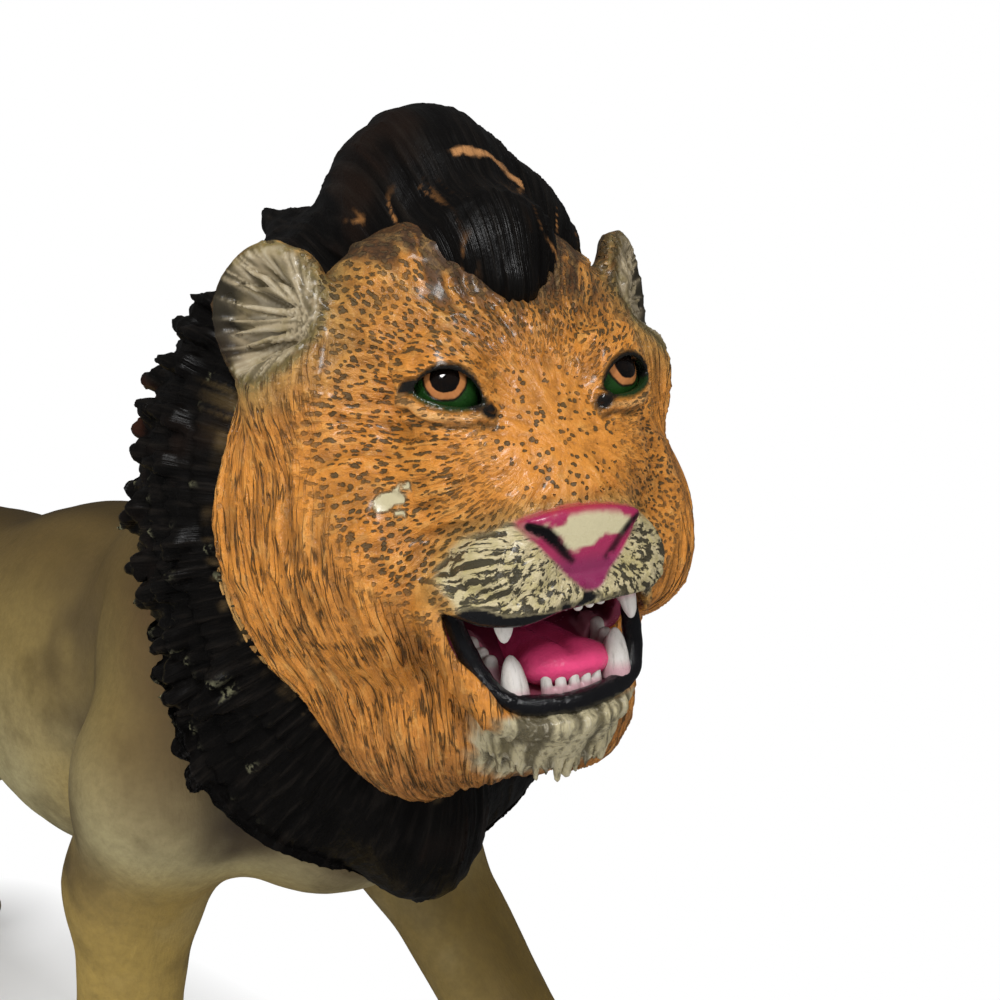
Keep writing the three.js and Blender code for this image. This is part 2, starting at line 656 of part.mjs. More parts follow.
// Teeth: canines are tapered crowns with a root in the gum
const canineRootShare = 0.8;
const canineOutlineShares = [[0, 1], [0.45, 0.85], [0.85, 0.4]];
function canine(at, aim, length, spare) {
  return turned([
    [-toothRoot - spare, 0],
    [-toothRoot - spare, canineRootShare * canineRadius + spare],
    ...canineOutlineShares.map(([along, across]) => [along * length, across * canineRadius + spare]),
    [length + spare, 0],
  ], new THREE.Vector3(...at), new THREE.Vector3(...aim), 8);
}

// Incisors and premolars are cast in rows, a scalloped outline on one root strip
function toothRow({ start, end, count, height, thickness, upwards }, spare) {
  const run = new THREE.Vector3(...end).sub(new THREE.Vector3(...start));
  const width = run.length();
  const outline = new THREE.Shape();
  outline.moveTo(-spare, -toothRoot - spare);
  if (spare > 0) {
    outline.lineTo(width + spare, -toothRoot - spare);
    outline.lineTo(width + spare, height + spare);
    outline.lineTo(-spare, height + spare);
  } else {
    outline.lineTo(width, -toothRoot);
    for (let i = count - 1; i >= 0; i--) {
      for (const [across, rise] of crownShares) {
        outline.lineTo(width * (i + across) / count, height * rise);
      }
    }
  }
  const depth = thickness + 2 * spare;
  const geometry = new THREE.ExtrudeGeometry(outline, { depth, bevelEnabled: false });
  geometry.translate(0, 0, -thickness / 2 - spare);
  const along = run.normalize();
  const rise = new THREE.Vector3(0, 0, upwards ? 1 : -1);
  const through = new THREE.Vector3().crossVectors(along, rise).normalize();
  const standing = new THREE.Vector3().crossVectors(through, along);
  geometry.applyMatrix4(new THREE.Matrix4().makeBasis(along, standing, through));
  geometry.translate(...start);
  return solidFrom(geometry);
}
const crownShares = [[1, 0.25], [0.8, 0.85], [0.5, 1], [0.2, 0.85]];
// Places of the teeth: ahead and up as shares of the head's width, aside as a share of half the mouth's width
const upperCanineShares = [0.035, 0.717, -0.295];
const lowerCanineShares = [0.002, 0.667, -0.42];
const upperIncisorShares = [[0.05, -0.458, -0.303], [0.05, 0.458, -0.303]];
const lowerIncisorShares = [[0.014, -0.458, -0.426], [0.014, 0.458, -0.426]];
const upperPremolarShares = [[-0.005, 0.875, -0.3], [-0.07, 0.892, -0.296]];
const lowerPremolarShares = [[-0.04, 0.833, -0.397], [-0.1, 0.858, -0.365]];
const incisorCount = 6;
const premolarCount = 3;
const canineAims = { upper: [0.1, 0, -1], lower: [0.15, 0, 1] };
const inMouth = ([ahead, aside, up], side) => [
  ahead * headWidth, side * aside * mouthWidth / 2, up * headWidth,
];
const teeth = {};
function addRow(name, ends, count, height, thickness, upwards) {
  const row = { start: ends[0], end: ends[1], count, height, thickness, upwards };
  teeth[name] = (spare) => toothRow(row, spare);
}
addRow(
  'upper_incisors', upperIncisorShares.map((shares) => inMouth(shares, 1)),
  incisorCount, incisorLength, incisorThickness, false,
);
addRow(
  'lower_incisors', lowerIncisorShares.map((shares) => inMouth(shares, 1)),
  incisorCount, incisorLength, incisorThickness, true,
);
for (const [sideName, side] of [['right', -1], ['left', 1]]) {
  teeth[`upper_canine_${sideName}`] = (spare) => canine(
    inMouth(upperCanineShares, side), canineAims.upper, upperCanineLength, spare,
  );
  teeth[`lower_canine_${sideName}`] = (spare) => canine(
    inMouth(lowerCanineShares, side), canineAims.lower, lowerCanineLength, spare,
  );
  addRow(
    `upper_premolars_${sideName}`, upperPremolarShares.map((shares) => inMouth(shares, side)),
    premolarCount, premolarLength, premolarThickness, false,
  );
  addRow(
    `lower_premolars_${sideName}`, lowerPremolarShares.map((shares) => inMouth(shares, side)),
    premolarCount, premolarLength, premolarThickness, true,
  );
}
const toothSeats = joined(Object.values(teeth).map((make) => make(toothFit)));

// Tongue: broad and low, resting on the floor of the mouth
const tongueShares = { from: [-0.13, 0, -0.345], to: [-0.015, 0, -0.392], radii: [0.035, 0.036] };
const tongueForm = muscle(
  scaled(tongueShares.from, headWidth), scaled(tongueShares.to, headWidth),
  ...scaled(tongueShares.radii, headWidth), tongueBreadth,
);
const tongueLine = line(scaled(tongueShares.from, headWidth), scaled(tongueShares.to, headWidth));
const tongue = largest(solidFrom(skin(tongueForm, tongueLine, spineRings(4, 1), 12, mouthReach))
  .intersect(mouthSkin(-seamGap))
  .subtract(lipBead(seamGap))
  .subtract(toothSeats));

const liner = largest(mouthSkin(linerWall)
  .intersect(faceSolid)
  .add(lipBead(0))
  .subtract(mouthOpen.subtract(lipBead(0)))
  .subtract(toothSeats));

// Eyes: domed balls in round sockets, trimmed flat behind
const eyeCenters = {
  eye_right: mirrored(scaled(eyeShares, headWidth)),
  eye_left: scaled(eyeShares, headWidth),
};
const eyeTrimShare = -0.055;
const eyeTrim = behindPlane(new THREE.Vector3(eyeTrimShare * headWidth, 0, 0), new THREE.Vector3(1, 0, 0));
const eyeBall = (center, spare) => ball(center, [0, 0, 0].map(() => eyeRadius + spare), 12, 8);
function eyeOpening(center) {
  const side = Math.sign(center[1]);
  const geometry = new THREE.SphereGeometry(1, 14, 8);
  geometry.scale(eyeRadius + 2 * lidThickness, eyeOpeningWidth / 2, eyeOpeningHeight / 2);
  geometry.translate(eyeRadius, 0, 0);
  geometry.rotateX(side * eyeSlantAngle * degrees);
  geometry.rotateZ(side * gazeAngle * degrees);
  geometry.translate(...center);
  return solidFrom(geometry);
}
const eyes = Object.values(eyeCenters);

const earSolids = joined(earSides.map((side) => earOuter(side, 0)));
const earSeats = joined(earSides.map((side) => earOuter(side, seamGap)));
const earCups = joined(earSides.map(earCup));
const face = largest(faceSolid
  .add(earSolids)
  .subtract(earCups)
  .subtract(faceHollow)
  .subtract(faceRear)
  .subtract(mouthSkin(linerWall + seamGap))
  .subtract(lipBead(seamGap))
  .add(joined(eyes.map((center) => eyeBall(center, seamGap + lidThickness))))
  .subtract(joined(eyes.map((center) => eyeBall(center, seamGap).add(eyeOpening(center))))));
const mane = largest(headSkin(lockedMane, maneTilts, 64)
  .subtract(neckPlane)
  .subtract(headSkin(grown(maneForm, -vinylWall), innerTilts, 20).subtract(neckWall))
  .subtract(faceSeat)
  .subtract(earSeats)
  .subtract(rod(neckInHead, neckAxisInHead, neckRadius + seamGap, -vinylWall, 2 * vinylWall, 24)));

function piece(name, solid, color, roughness, metalness = 0) {
  const material = new THREE.MeshStandardMaterial({ color, roughness, metalness });
  const mesh = new THREE.Mesh(geometryFrom(solid), material);
  mesh.name = name;
  return mesh;
}

const bodyGroup = new THREE.Group();
bodyGroup.add(piece('torso_shell', torso, 0x7d6a3c, 0.55));
bodyGroup.add(piece('fibre_fill', fibreFill, 0xe8e6df, 0.95));
for (const [name, solid] of Object.entries(legs)) {
  bodyGroup.add(piece(name, solid, 0x86713a, 0.55));
}
bodyGroup.add(piece('tail', tail, 0x7d6a3c, 0.55));

const headGroup = new THREE.Group();
headPlace.decompose(headGroup.position, headGroup.quaternion, headGroup.scale);
headGroup.add(piece('mane_shell', mane, 0x141312, 0.45));
headGroup.add(piece('face_shell', face, 0xc98a45, 0.4));
headGroup.add(piece('mouth_liner', liner, 0x7a1f33, 0.35));
headGroup.add(piece('tongue', tongue, 0xb54068, 0.25));
for (const [name, center] of Object.entries(eyeCenters)) {
  headGroup.add(piece(name, eyeBall(center, 0).subtract(eyeTrim), 0x2c4a22, 0.15));
}
for (const [name, make] of Object.entries(teeth)) {
  headGroup.add(piece(name, make(0), 0xe6e2d8, 0.3));
}

// Stood on the middle of its footprint
const lion = new THREE.Group();
lion.add(bodyGroup, headGroup);
lion.updateMatrixWorld(true);
const extent = new THREE.Box3().setFromObject(lion, true);
const middle = extent.getCenter(new THREE.Vector3());
for (const group of [bodyGroup, headGroup]) {
  group.position.sub(new THREE.Vector3(middle.x, middle.y, extent.min.z));
}

export default lion;
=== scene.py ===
"""Looks of the toy lion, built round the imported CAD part.

Shapes are written in millimetres, in the same two frames as the part's source. The body's forms are shares of
the trunk's length. The head's forms are in the head's own frame, whose origin lies between the eyes, with X
forwards. Each skin is a field of signed distances, meshed once, then given its relief along its own normals.
Places, radii and blends stand with the form that they belong to. Colours are linear red, green and blue.
"""

import json
import math

import bpy
import numpy as np
from mathutils import Matrix, Vector


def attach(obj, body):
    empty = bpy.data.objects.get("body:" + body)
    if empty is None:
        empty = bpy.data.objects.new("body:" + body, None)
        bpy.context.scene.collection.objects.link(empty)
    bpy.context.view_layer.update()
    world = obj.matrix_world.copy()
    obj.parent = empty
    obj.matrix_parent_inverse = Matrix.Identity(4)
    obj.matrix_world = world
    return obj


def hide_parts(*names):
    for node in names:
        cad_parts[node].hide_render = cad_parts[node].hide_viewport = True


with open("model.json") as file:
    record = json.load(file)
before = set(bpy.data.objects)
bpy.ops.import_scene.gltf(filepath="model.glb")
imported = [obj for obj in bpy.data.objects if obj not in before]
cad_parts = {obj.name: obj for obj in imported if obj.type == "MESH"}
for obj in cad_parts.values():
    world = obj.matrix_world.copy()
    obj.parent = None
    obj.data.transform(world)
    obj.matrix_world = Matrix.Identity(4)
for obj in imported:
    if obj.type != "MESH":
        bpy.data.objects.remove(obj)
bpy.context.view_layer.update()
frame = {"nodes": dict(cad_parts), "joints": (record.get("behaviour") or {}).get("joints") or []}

MM = 0.001
FAR = 60.0
TRUNK = 200.0
SIDES = {"right": -1, "left": 1}


# frames
def turn(axis, degrees):
    return np.array(Matrix.Rotation(math.radians(degrees), 3, axis))


HEAD_TURN = turn("Z", -27.85) @ turn("Y", -6.5) @ turn("X", 3.6)
EYES_AT = np.array([48.6, -25.8, 181.7])
NECK = np.array([-64.0, -5.0, -18.0])
NECK_RISE, NECK_LEAN = math.radians(12), math.radians(6)
NECK_AXIS = np.array([
    math.cos(NECK_RISE) * math.cos(NECK_LEAN), math.cos(NECK_RISE) * math.sin(NECK_LEAN), math.sin(NECK_RISE),
])
NECK_END = HEAD_TURN @ NECK + EYES_AT
BODY_NECK_AXIS = HEAD_TURN @ NECK_AXIS
head_joint = next(j for j in frame["joints"] if j["name"] == "head_turn")
SHIFT = np.array(head_joint["pos_m"]) / MM - NECK_END


def from_body(points):
    return (np.asarray(points) + SHIFT) * MM


def from_head(points):
    return (np.asarray(points) @ HEAD_TURN.T + EYES_AT + SHIFT) * MM


PLACES = {"body": from_body, "tail": from_body, "head": from_head}


# fields of signed distances
def softened(a, b, blend):
    near = np.minimum(a, b)
    if blend <= 0:
        return near
    mix = np.maximum(blend - np.abs(a - b), 0) / blend
    return near - mix * mix * blend / 4


class Form:
    """A distance function, below zero inside, and the box that holds it."""

    def __init__(self, low, high, distance):
        self.low, self.high, self.distance = np.array(low, float), np.array(high, float), distance

    def __call__(self, points):
        return self.distance(*np.asarray(points).T)


def ellipsoid(center, radii, rotation=None):
    c, r = np.array(center, float), np.array(radii, float)

    def distance(x, y, z):
        p = [x - c[0], y - c[1], z - c[2]]
        if rotation is not None:
            p = [sum(rotation[j, i] * p[j] for j in range(3)) for i in range(3)]
        near = np.sqrt(sum((p[i] / r[i]) ** 2 for i in range(3)))
        slope = np.sqrt(sum((p[i] / r[i] ** 2) ** 2 for i in range(3)))
        return near * (near - 1) / np.maximum(slope, 1e-6)

    reach = r if rotation is None else np.full(3, r.max())
    return Form(c - reach, c + reach, distance)


def limb(start, end, radius_start, radius_end, breadth=1.0):
    a, b = np.array(start, float), np.array(end, float)
    run = b - a
    length2 = float(run @ run)

    def distance(x, y, z):
        x, y, z = x - a[0], y - a[1], z - a[2]
        share = np.clip((x * run[0] + y * run[1] + z * run[2]) / length2, 0, 1)
        off = (x - share * run[0]) ** 2 + ((y - share * run[1]) / breadth) ** 2 + (z - share * run[2]) ** 2
        return np.sqrt(off) - radius_start - share * (radius_end - radius_start)

    reach = max(radius_start, radius_end) * np.array([1, max(breadth, 1), 1])
    return Form(np.minimum(a, b) - reach, np.maximum(a, b) + reach, distance)


def chain(path, radii):
    """The limbs that join the points of a path, with one radius for each point or one for all."""
    radii = np.broadcast_to(radii, len(path))
    return [limb(path[i], path[i + 1], radii[i], radii[i + 1]) for i in range(len(path) - 1)]


def nearest(points, forms, start=9.0):
    """The distance to the nearest of the forms, or the start value where none is nearer."""
    gap = np.full(len(points), start)
    for form in forms:
        gap = np.minimum(gap, form(points))
    return gap


def half_space(point, normal):
    """Inside lies behind the plane."""
    p, n = np.array(point, float), np.array(normal, float)
    def distance(x, y, z):
        return (x - p[0]) * n[0] + (y - p[1]) * n[1] + (z - p[2]) * n[2]

    return Form([-500] * 3, [500] * 3, distance)


def blended(points, forms, blend):
    value = forms[0](points)
    for form in forms[1:]:
        value = softened(value, form(points), blend)
    return value


CORNERS = [(i, j, k) for i in (0, 1) for j in (0, 1) for k in (0, 1)]


class Field:
    def __init__(self, low, high, step):
        self.low, self.step = np.array(low, np.float32), step
        count = np.ceil((np.array(high) - self.low) / step).astype(int) + 1
        self.value = np.full(count, FAR, np.float32)

    def window(self, form, margin):
        size = np.array(self.value.shape)
        first = np.clip(np.floor((form.low - margin - self.low) / self.step).astype(int), 0, size)
        last = np.clip(np.ceil((form.high + margin - self.low) / self.step).astype(int) + 1, 0, size)
        axes = [
            (self.low[i] + self.step * np.arange(first[i], last[i])).astype(np.float32) for i in range(3)
        ]
        return tuple(slice(a, b) for a, b in zip(first, last)), np.ix_(*axes)

    def put(self, form, blend, grow, sign):
        where, at = self.window(form, blend + grow + 3 * self.step)
        other = form.distance(*at).astype(np.float32) - grow
        self.value[where] = sign * softened(sign * self.value[where], other, blend)

    def add(self, form, blend=0.0):
        self.put(form, blend, 0.0, 1)

    def cut(self, form, blend=0.0, grow=0.0):
        self.put(form, blend, grow, -1)

    def add_all(self, forms, blend):
        for form in forms:
            self.add(form, blend)

    def sample(self, points):
        """Value and slope at any points, read between the grid's points."""
        at = (points - self.low) / self.step
        cell = np.clip(np.floor(at).astype(int), 0, np.array(self.value.shape) - 2)
        f = at - cell
        value, slope = np.zeros(len(at)), np.zeros((len(at), 3))
        for corner in CORNERS:
            v = self.value[tuple((cell + corner).T)]
            wx, wy, wz = (f[:, i] if corner[i] else 1 - f[:, i] for i in range(3))
            value += v * wx * wy * wz
            for i, weight in enumerate((wy * wz, wx * wz, wx * wy)):
                slope[:, i] += v * (2 * corner[i] - 1) * weight
        return value, slope / self.step

    def skin(self):
        """Surface nets: a vertex in each cell that the surface crosses, then moved onto the surface."""
        inside = self.value < 0
        size = np.array(inside.shape) - 1
        total = np.zeros(size, np.uint8)
        for i, j, k in CORNERS:
            total += inside[i:size[0] + i, j:size[1] + j, k:size[2] + k]
        cells = np.argwhere((total > 0) & (total < 8))
        number = np.full(size, -1, np.int32)
        number[tuple(cells.T)] = np.arange(len(cells))
        values = {s: self.value[tuple((cells + s).T)] for s in CORNERS}
        place, count = np.zeros((len(cells), 3)), np.zeros(len(cells))
        for s in CORNERS:
            for axis in [i for i in range(3) if not s[i]]:
                a, b = values[s], values[tuple(1 if i == axis else s[i] for i in range(3))]
                crossed = (a < 0) != (b < 0)
                point = np.tile(np.array(s, float), (len(cells), 1))
                point[:, axis] = np.where(crossed, a / np.where(crossed, a - b, 1), 0)
                place += point * crossed[:, None]
                count += crossed
        vertices = self.low + self.step * (cells + place / count[:, None])
        faces = []
        for axis in range(3):
            u, v = (axis + 1) % 3, (axis + 2) % 3
            first = np.take(inside, range(size[axis]), axis)
            second = np.take(inside, range(1, size[axis] + 1), axis)
            edges = np.argwhere(first != second)
            held = (edges[:, [u, v]] > 0).all(1) & (edges[:, [u, v]] < size[[u, v]]).all(1)
            edges = edges[held]
            outward = first[tuple(edges.T)]
            ring = []
            for du, dv in ((-1, -1), (0, -1), (0, 0), (-1, 0)):
                cell = edges.copy()
                cell[:, u] += du
                cell[:, v] += dv
                ring.append(number[tuple(cell.T)])
            quads = np.stack(ring, 1)
            quads[~outward] = quads[~outward][:, ::-1]
            faces.append(quads)
        for _ in range(2):
            off, slope = self.sample(vertices)
            steep = np.maximum((slope ** 2).sum(1), 0.04)
            move = -(off / steep)[:, None] * slope
            long = np.linalg.norm(move, axis=1, keepdims=True)
            vertices = vertices + move * np.minimum(1, 0.5 * self.step / np.maximum(long, 1e-9))
        return largest(vertices, np.concatenate(faces))


def largest(vertices, faces):
    """Only the biggest connected skin."""
    label = np.arange(len(vertices))
    while True:
        low = label[faces].min(1)
        new = label.copy()
        np.minimum.at(new, faces.ravel(), np.repeat(low, faces.shape[1]))
        new = new[new]
        if (new == label).all():
            break
        label = new
    keep = label == np.bincount(label).argmax()
    number = np.cumsum(keep) - 1
    return vertices[keep], number[faces[keep[faces[:, 0]]]]


def normals(vertices, faces):
    d = np.cross(vertices[faces[:, 2]] - vertices[faces[:, 0]], vertices[faces[:, 3]] - vertices[faces[:, 1]])
    out = np.stack([
        np.bincount(faces.ravel(), np.repeat(d[:, i], 4), len(vertices)) for i in range(3)
    ], 1)
    return out / np.maximum(np.linalg.norm(out, axis=1, keepdims=True), 1e-9)


def raised(vertices, faces, height):
    """The vertices moved along their own normals."""
    return vertices + normals(vertices, faces) * height[:, None]


# noise
def hashed(cell, seed):
    """A number from 0 to 1 for each whole-numbered cell."""
    h = np.full(cell.shape[:-1], seed * 374761393 + 668265263, np.uint64)
    for i in range(cell.shape[-1]):
        part = cell[..., i].astype(np.int64).astype(np.uint64) + np.uint64(0x9E3779B9)
        h ^= part * np.uint64(0x85EBCA6B + 2 * i * 7919)
        h = (h ^ (h >> np.uint64(15))) * np.uint64(0xC2B2AE35)
        h &= np.uint64(0xFFFFFFFF)
        h ^= h >> np.uint64(13)
    return (h & np.uint64(0xFFFFFF)).astype(float) / float(0xFFFFFF)


def noise(points, size, seed=1):
    """Smooth noise from -1 to 1, with lumps of about the given size."""
    at = np.asarray(points, float) / size
    cell = np.floor(at).astype(int)
    f = at - cell
    f = f * f * (3 - 2 * f)
    out = np.zeros(len(at))
    dims = at.shape[1]
    for corner in range(2 ** dims):
        step = np.array([(corner >> i) & 1 for i in range(dims)])
        out += np.prod(np.where(step, f, 1 - f), axis=1) * hashed(cell + step, seed)
    return 2 * out - 1


def layered(points, size, seed=1, layers=3):
    return sum(noise(points, size / 2 ** i, seed + 17 * i) / 2 ** i for i in range(layers)) / 1.75


def ridged(u, v, width, length, seed):
    """Long strands: 1 on a strand's back, 0 in the groove beside it."""
    sway = noise(np.stack([u / width / 3, v / length], 1), 1, seed + 5)
    wave = noise(np.stack([u / width + 1.2 * sway, v / length], 1), 1, seed)
    return 1 - np.abs(wave) ** 0.7


def smooth(low, high, value):
    share = np.clip((value - low) / (high - low), 0, 1)
    return share * share * (3 - 2 * share)


def painted(base, coats):
    """A base colour under coats of paint, each with its share at every vertex."""
    colour = np.array(base)
    for share, coat in coats:
        share = np.clip(share, 0, 1)[:, None]
        colour = colour * (1 - share) + np.array(coat) * share
    return colour


# meshes
def make(name, vertices, faces, body, slot, replaced=(), **values):
    """A smooth-shaded mesh in the row frame, with the given numbers, vectors or colours at its vertices."""
    mesh = bpy.data.meshes.new(name)
    mesh.vertices.add(len(vertices))
    mesh.vertices.foreach_set("co", PLACES[body](vertices).astype(np.float32).ravel())
    mesh.loops.add(faces.size)
    mesh.loops.foreach_set("vertex_index", faces.astype(np.int32).ravel())
    mesh.polygons.add(len(faces))
    mesh.polygons.foreach_set("loop_start", np.arange(0, faces.size, faces.shape[1], dtype=np.int32))
    mesh.update(calc_edges=True)
    mesh.polygons.foreach_set("use_smooth", np.ones(len(faces), bool))
    for key, value in {**values, "local": vertices}.items():
        kind, field = ("FLOAT", "value") if value.ndim == 1 else ("FLOAT_VECTOR", "vector")
        attribute = mesh.attributes.new(key, kind, "POINT")
        attribute.data.foreach_set(field, value.astype(np.float32).ravel())
    obj = bpy.data.objects.new(name, mesh)
    bpy.context.scene.collection.objects.link(obj)
    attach(obj, body)
    if replaced:
        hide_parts(*replaced)
    return obj


def curve_through(points, count):
    """Points on a smooth curve through the given ones, in any number of coordinates."""
    p = np.asarray(points, float)
    p = np.concatenate([2 * p[:1] - p[1:2], p, 2 * p[-1:] - p[-2:-1]])
    spans = len(p) - 3
    at = np.linspace(0, spans, count)
    span = np.minimum(at.astype(int), spans - 1)
    t = (at - span)[:, None]
    a, b, c, d = (p[span + i] for i in range(4))
    return 0.5 * (2 * b + (c - a) * t + (2 * a - 5 * b + 4 * c - d) * t ** 2 + (3 * b - a - 3 * c + d) * t ** 3)


def ring_faces(rings, sides):
    """Four-sided faces between neighbouring rings of points."""
    ring, k = np.meshgrid(np.arange(rings - 1) * sides, np.arange(sides), indexing="ij")
    beside = (k + 1) % sides
    return np.stack([ring + k, ring + beside, ring + sides + beside, ring + sides + k], -1).reshape(-1, 4)


def capped(vertices, faces, sides):
    """Closes the two end rings of an open tube with four-sided faces."""
    caps = []
    for i in range(sides // 2 - 1):
        start = [i, i + 1, sides - 2 - i, sides - 1 - i]
        caps += [start[::-1], [len(vertices) - sides + s for s in start]]
    return vertices, np.concatenate([faces, np.array(caps)])


def tube(path, radii, sides, squash=1.0, up=(0, 0, 1)):
    """A closed skin of four-sided faces round a path."""
    along = np.gradient(path, axis=0)
    along /= np.linalg.norm(along, axis=1, keepdims=True)
    side = np.cross(along, up)
    side /= np.linalg.norm(side, axis=1, keepdims=True)
    rise = np.cross(side, along)
    angle = (np.arange(sides) / sides * 2 * math.pi)[None, :, None]
    rings = path[:, None] + radii[:, None, None] * (
        np.cos(angle) * side[:, None] + squash * np.sin(angle) * rise[:, None]
    )
    return capped(rings.reshape(-1, 3), ring_faces(len(path), sides), sides)


# head forms
FACE_BLEND, MANE_BLEND = 4.0, 5.0
EYE, EYE_RADIUS = np.array([-3.9, 11.6, -0.6]), 5.2
OPENING, OPENING_HALF = np.array([0.8, 13.1, -1.55]), 4.5
OPENING_FRAME = turn("Z", 17) @ turn("X", 16)
EAR_CENTER, EAR_TURN = np.array([-27.2, 28.7, 13.8]), 50

face_forms = []
for center, radii in (
    ([-35, 0, -17], [27, 35.5, 40]), ([-38, 0, -19], [20, 39.5, 38]), ([-25, 0, 5], [20, 25, 23.5]),
    ([-24, 15, -22], [20, 18, 21]), ([-13, 0, -25], [17, 15, 13]), ([-.5, 6.8, -24.5], [8.5, 7.6, 7]),
    ([-9, 0, -46], [10.5, 10, 7.5]), ([-20, 5, -45], [14, 12, 13]), ([-28, 12, -47], [13, 12, 14]),
    ([-30, 13, -42], [12, 14, 16]), ([-29, 24, 6], [8, 10, 9]), ([-24.5, 22.5, 1], [9, 11.5, 12]),
    ([-6, 9, -12], [9, 9, 9]),
):
    face_forms.append(ellipsoid(center, radii))
    if center[1]:
        face_forms.append(ellipsoid(np.array(center) * [1, -1, 1], radii))
bridge = limb([-8, 0, 4], [3.6, 0, -15.5], 6.2, 5.2, 1.8)
mane_forms = [
    ellipsoid([-56, -5, -19.5], [32, 43, 52.5]),
    ellipsoid([-60, -10, -46], [24, 37, 34.5]),
    ellipsoid([-40, 0, 23.5], [24, 17.5, 24]),
    ellipsoid([-36, 10, 20], [18, 14, 17]),
    ellipsoid([-47, -10, -64], [19, 12, 18.5]),
    *chain([[-32, 0, 25], [-15, 1, 18], [-7, 1, 13]], [12, 9.5, 3]),
]


def face_at(points):
    return blended(points, face_forms, FACE_BLEND)


def mane_at(points):
    return blended(points, mane_forms, MANE_BLEND)


def mouth_room(x, y, z):
    """The wedge between the palate and the floor of the mouth."""
    roof = -28.8 + (x + 20) * (-30.8 + 28.8) / 30 + 1.3 * smooth(-10, -15, y)
    floor = -31.5 + (x + 20) * (-44.8 + 31.5) / 26
    value = -(z - roof)
    flare = 0.46 * np.clip(x + 8, 0, 7) * smooth(-41, -30, z) * (y < 0)
    side = 12.3 + flare - 0.12 * np.maximum(-12 - x, 0) - 0.45 * np.maximum(-36 - z, 0) - np.abs(y)
    for bound in (z - floor, side, x + 20, 16 - x):
        value = softened(value, bound, 2.6)
    return -value


mouth_form = Form([-22, -19, -50], [18, 18, -25], mouth_room)


def nose_outline(y, z):
    """The nose leather seen from the front: a wide top that tapers to the lip's middle."""
    top = z + 17.0 + 0.02 * y * y
    flank = (np.abs(y - 0.5) - 9.5) * 0.76 - 0.65 * (z + 18)
    return -softened(softened(-top, -flank, 1.3), z + 28.0, 1.0)


def nose_pad(x, y, z):
    front = x - 11.7 - 0.31 * (z + 17.3) + 0.014 * y * y
    return -softened(-nose_outline(y, z), -front, 1.8)


def nostril(side):
    """A slit that runs down and inwards, deepest at its outer end."""
    outer, middle = [11.0, 0.8 + 6.4 * side, -20.4], [11.0, 0.7 + 4.8 * side, -22.0]
    inner, curl = [10.2, 0.6 + 2.6 * side, -24.2], [9.8, 0.8 + 8.2 * side, -19.2]
    return [limb(outer, middle, 0.95, 1.0), limb(middle, inner, 1.0, 0.5), limb(outer, curl, 0.9, 0.4)]


nostrils = [slit for side in (1, -1) for slit in nostril(side)]


def on_left(points):
    """Points of both sides, laid over each other on the left."""
    return np.stack([points[..., 0], np.abs(points[..., 1]), points[..., 2]], -1)


def opening_at(points):
    """The lids' almond, seen square on: below zero between the lids."""
    p = (on_left(points) - OPENING) @ OPENING_FRAME
    s, t = p[..., 1] / OPENING_HALF, p[..., 2]
    arch = np.maximum(1 - s * s, 0)
    high, low = 3.45 * arch ** 0.65, -1.25 * arch ** 0.8
    return np.maximum(np.maximum(t - high, low - t) * 0.85, (np.abs(s) - 1) * OPENING_HALF), p


def eye_cut(side):
    def distance(x, y, z):
        value, p = opening_at(np.stack(np.broadcast_arrays(x, y, z), -1))
        return np.maximum(value, -(p[..., 0] + 3.5))

    center, reach = OPENING * [1, side, 1], np.array([9, 7, 8])
    return Form(center - reach, center + reach, distance)


UPPER_LIP = curve_through([
    [-1.0, -16.2, -27.4], [1.0, -15.2, -28.4], [2.8, -13.8, -29.5], [5.2, -11.9, -30.4], [7.8, -8.2, -30.6],
    [8.4, -3.4, -29.4], [8.4, 1.6, -29.0], [8.2, 6.0, -28.6], [7.2, 9.6, -28.3], [3.0, 11.4, -28.2],
    [-3.6, 12.2, -27.9],
], 45)
LIP_POINTS = 150
LOWER_LIP = curve_through([
    [-1.0, -16.3, -27.6], [-1.6, -15.3, -29.6], [-1.9, -14.4, -31.6],
    [-1.7, -13.4, -34.8], [-1.0, -12.3, -37.8],
    [0.4, -10.6, -41.0], [1.6, -7.7, -42.7], [2.6, -3.4, -43.3], [2.9, 0, -43.3], [2.2, 3.9, -42.9],
    [1.0, 7.6, -42.2], [0.0, 9.8, -41.0], [-0.8, 10.9, -38.6], [-1.5, 11.4, -35.6], [-2.2, 11.7, -32.4],
    [-3.0, 12.0, -29.6], [-3.6, 12.2, -28.1],
], LIP_POINTS)


# face
def add_ear(field, side):
    """A shallow dish with strands laid across it from its front edge."""
    ear = turn("Z", EAR_TURN * side)
    center = EAR_CENTER * [1, side, 1]

    def ear_point(across, up, out):
        return center + ear @ [out, -across * side, up]

    field.add(ellipsoid(center, [4.0, 10.8, 10.6], ear), 2.5)
    field.cut(ellipsoid(center + ear @ [3.9, 0, 0.4], [3.7, 9.2, 9.1], ear), 1.0)
    for i in range(13):
        angle = math.radians(60 + 19.5 * i)
        reach = 0.80 + 0.17 * math.sin(i * 2.3)
        tip = ear_point(10.0 * reach * math.cos(angle), 9.8 * reach * math.sin(angle), 1.5)
        root = ear_point(8.6, -2.4 + 3.2 * math.sin(angle), 2.6)
        middle = 0.5 * (root + tip) + ear @ [0.1, 0, 0.7 * math.cos(1.7 * i)]
        field.add_all(chain([root, middle, tip], [0.65, 0.5, 0.15]), 0.3)


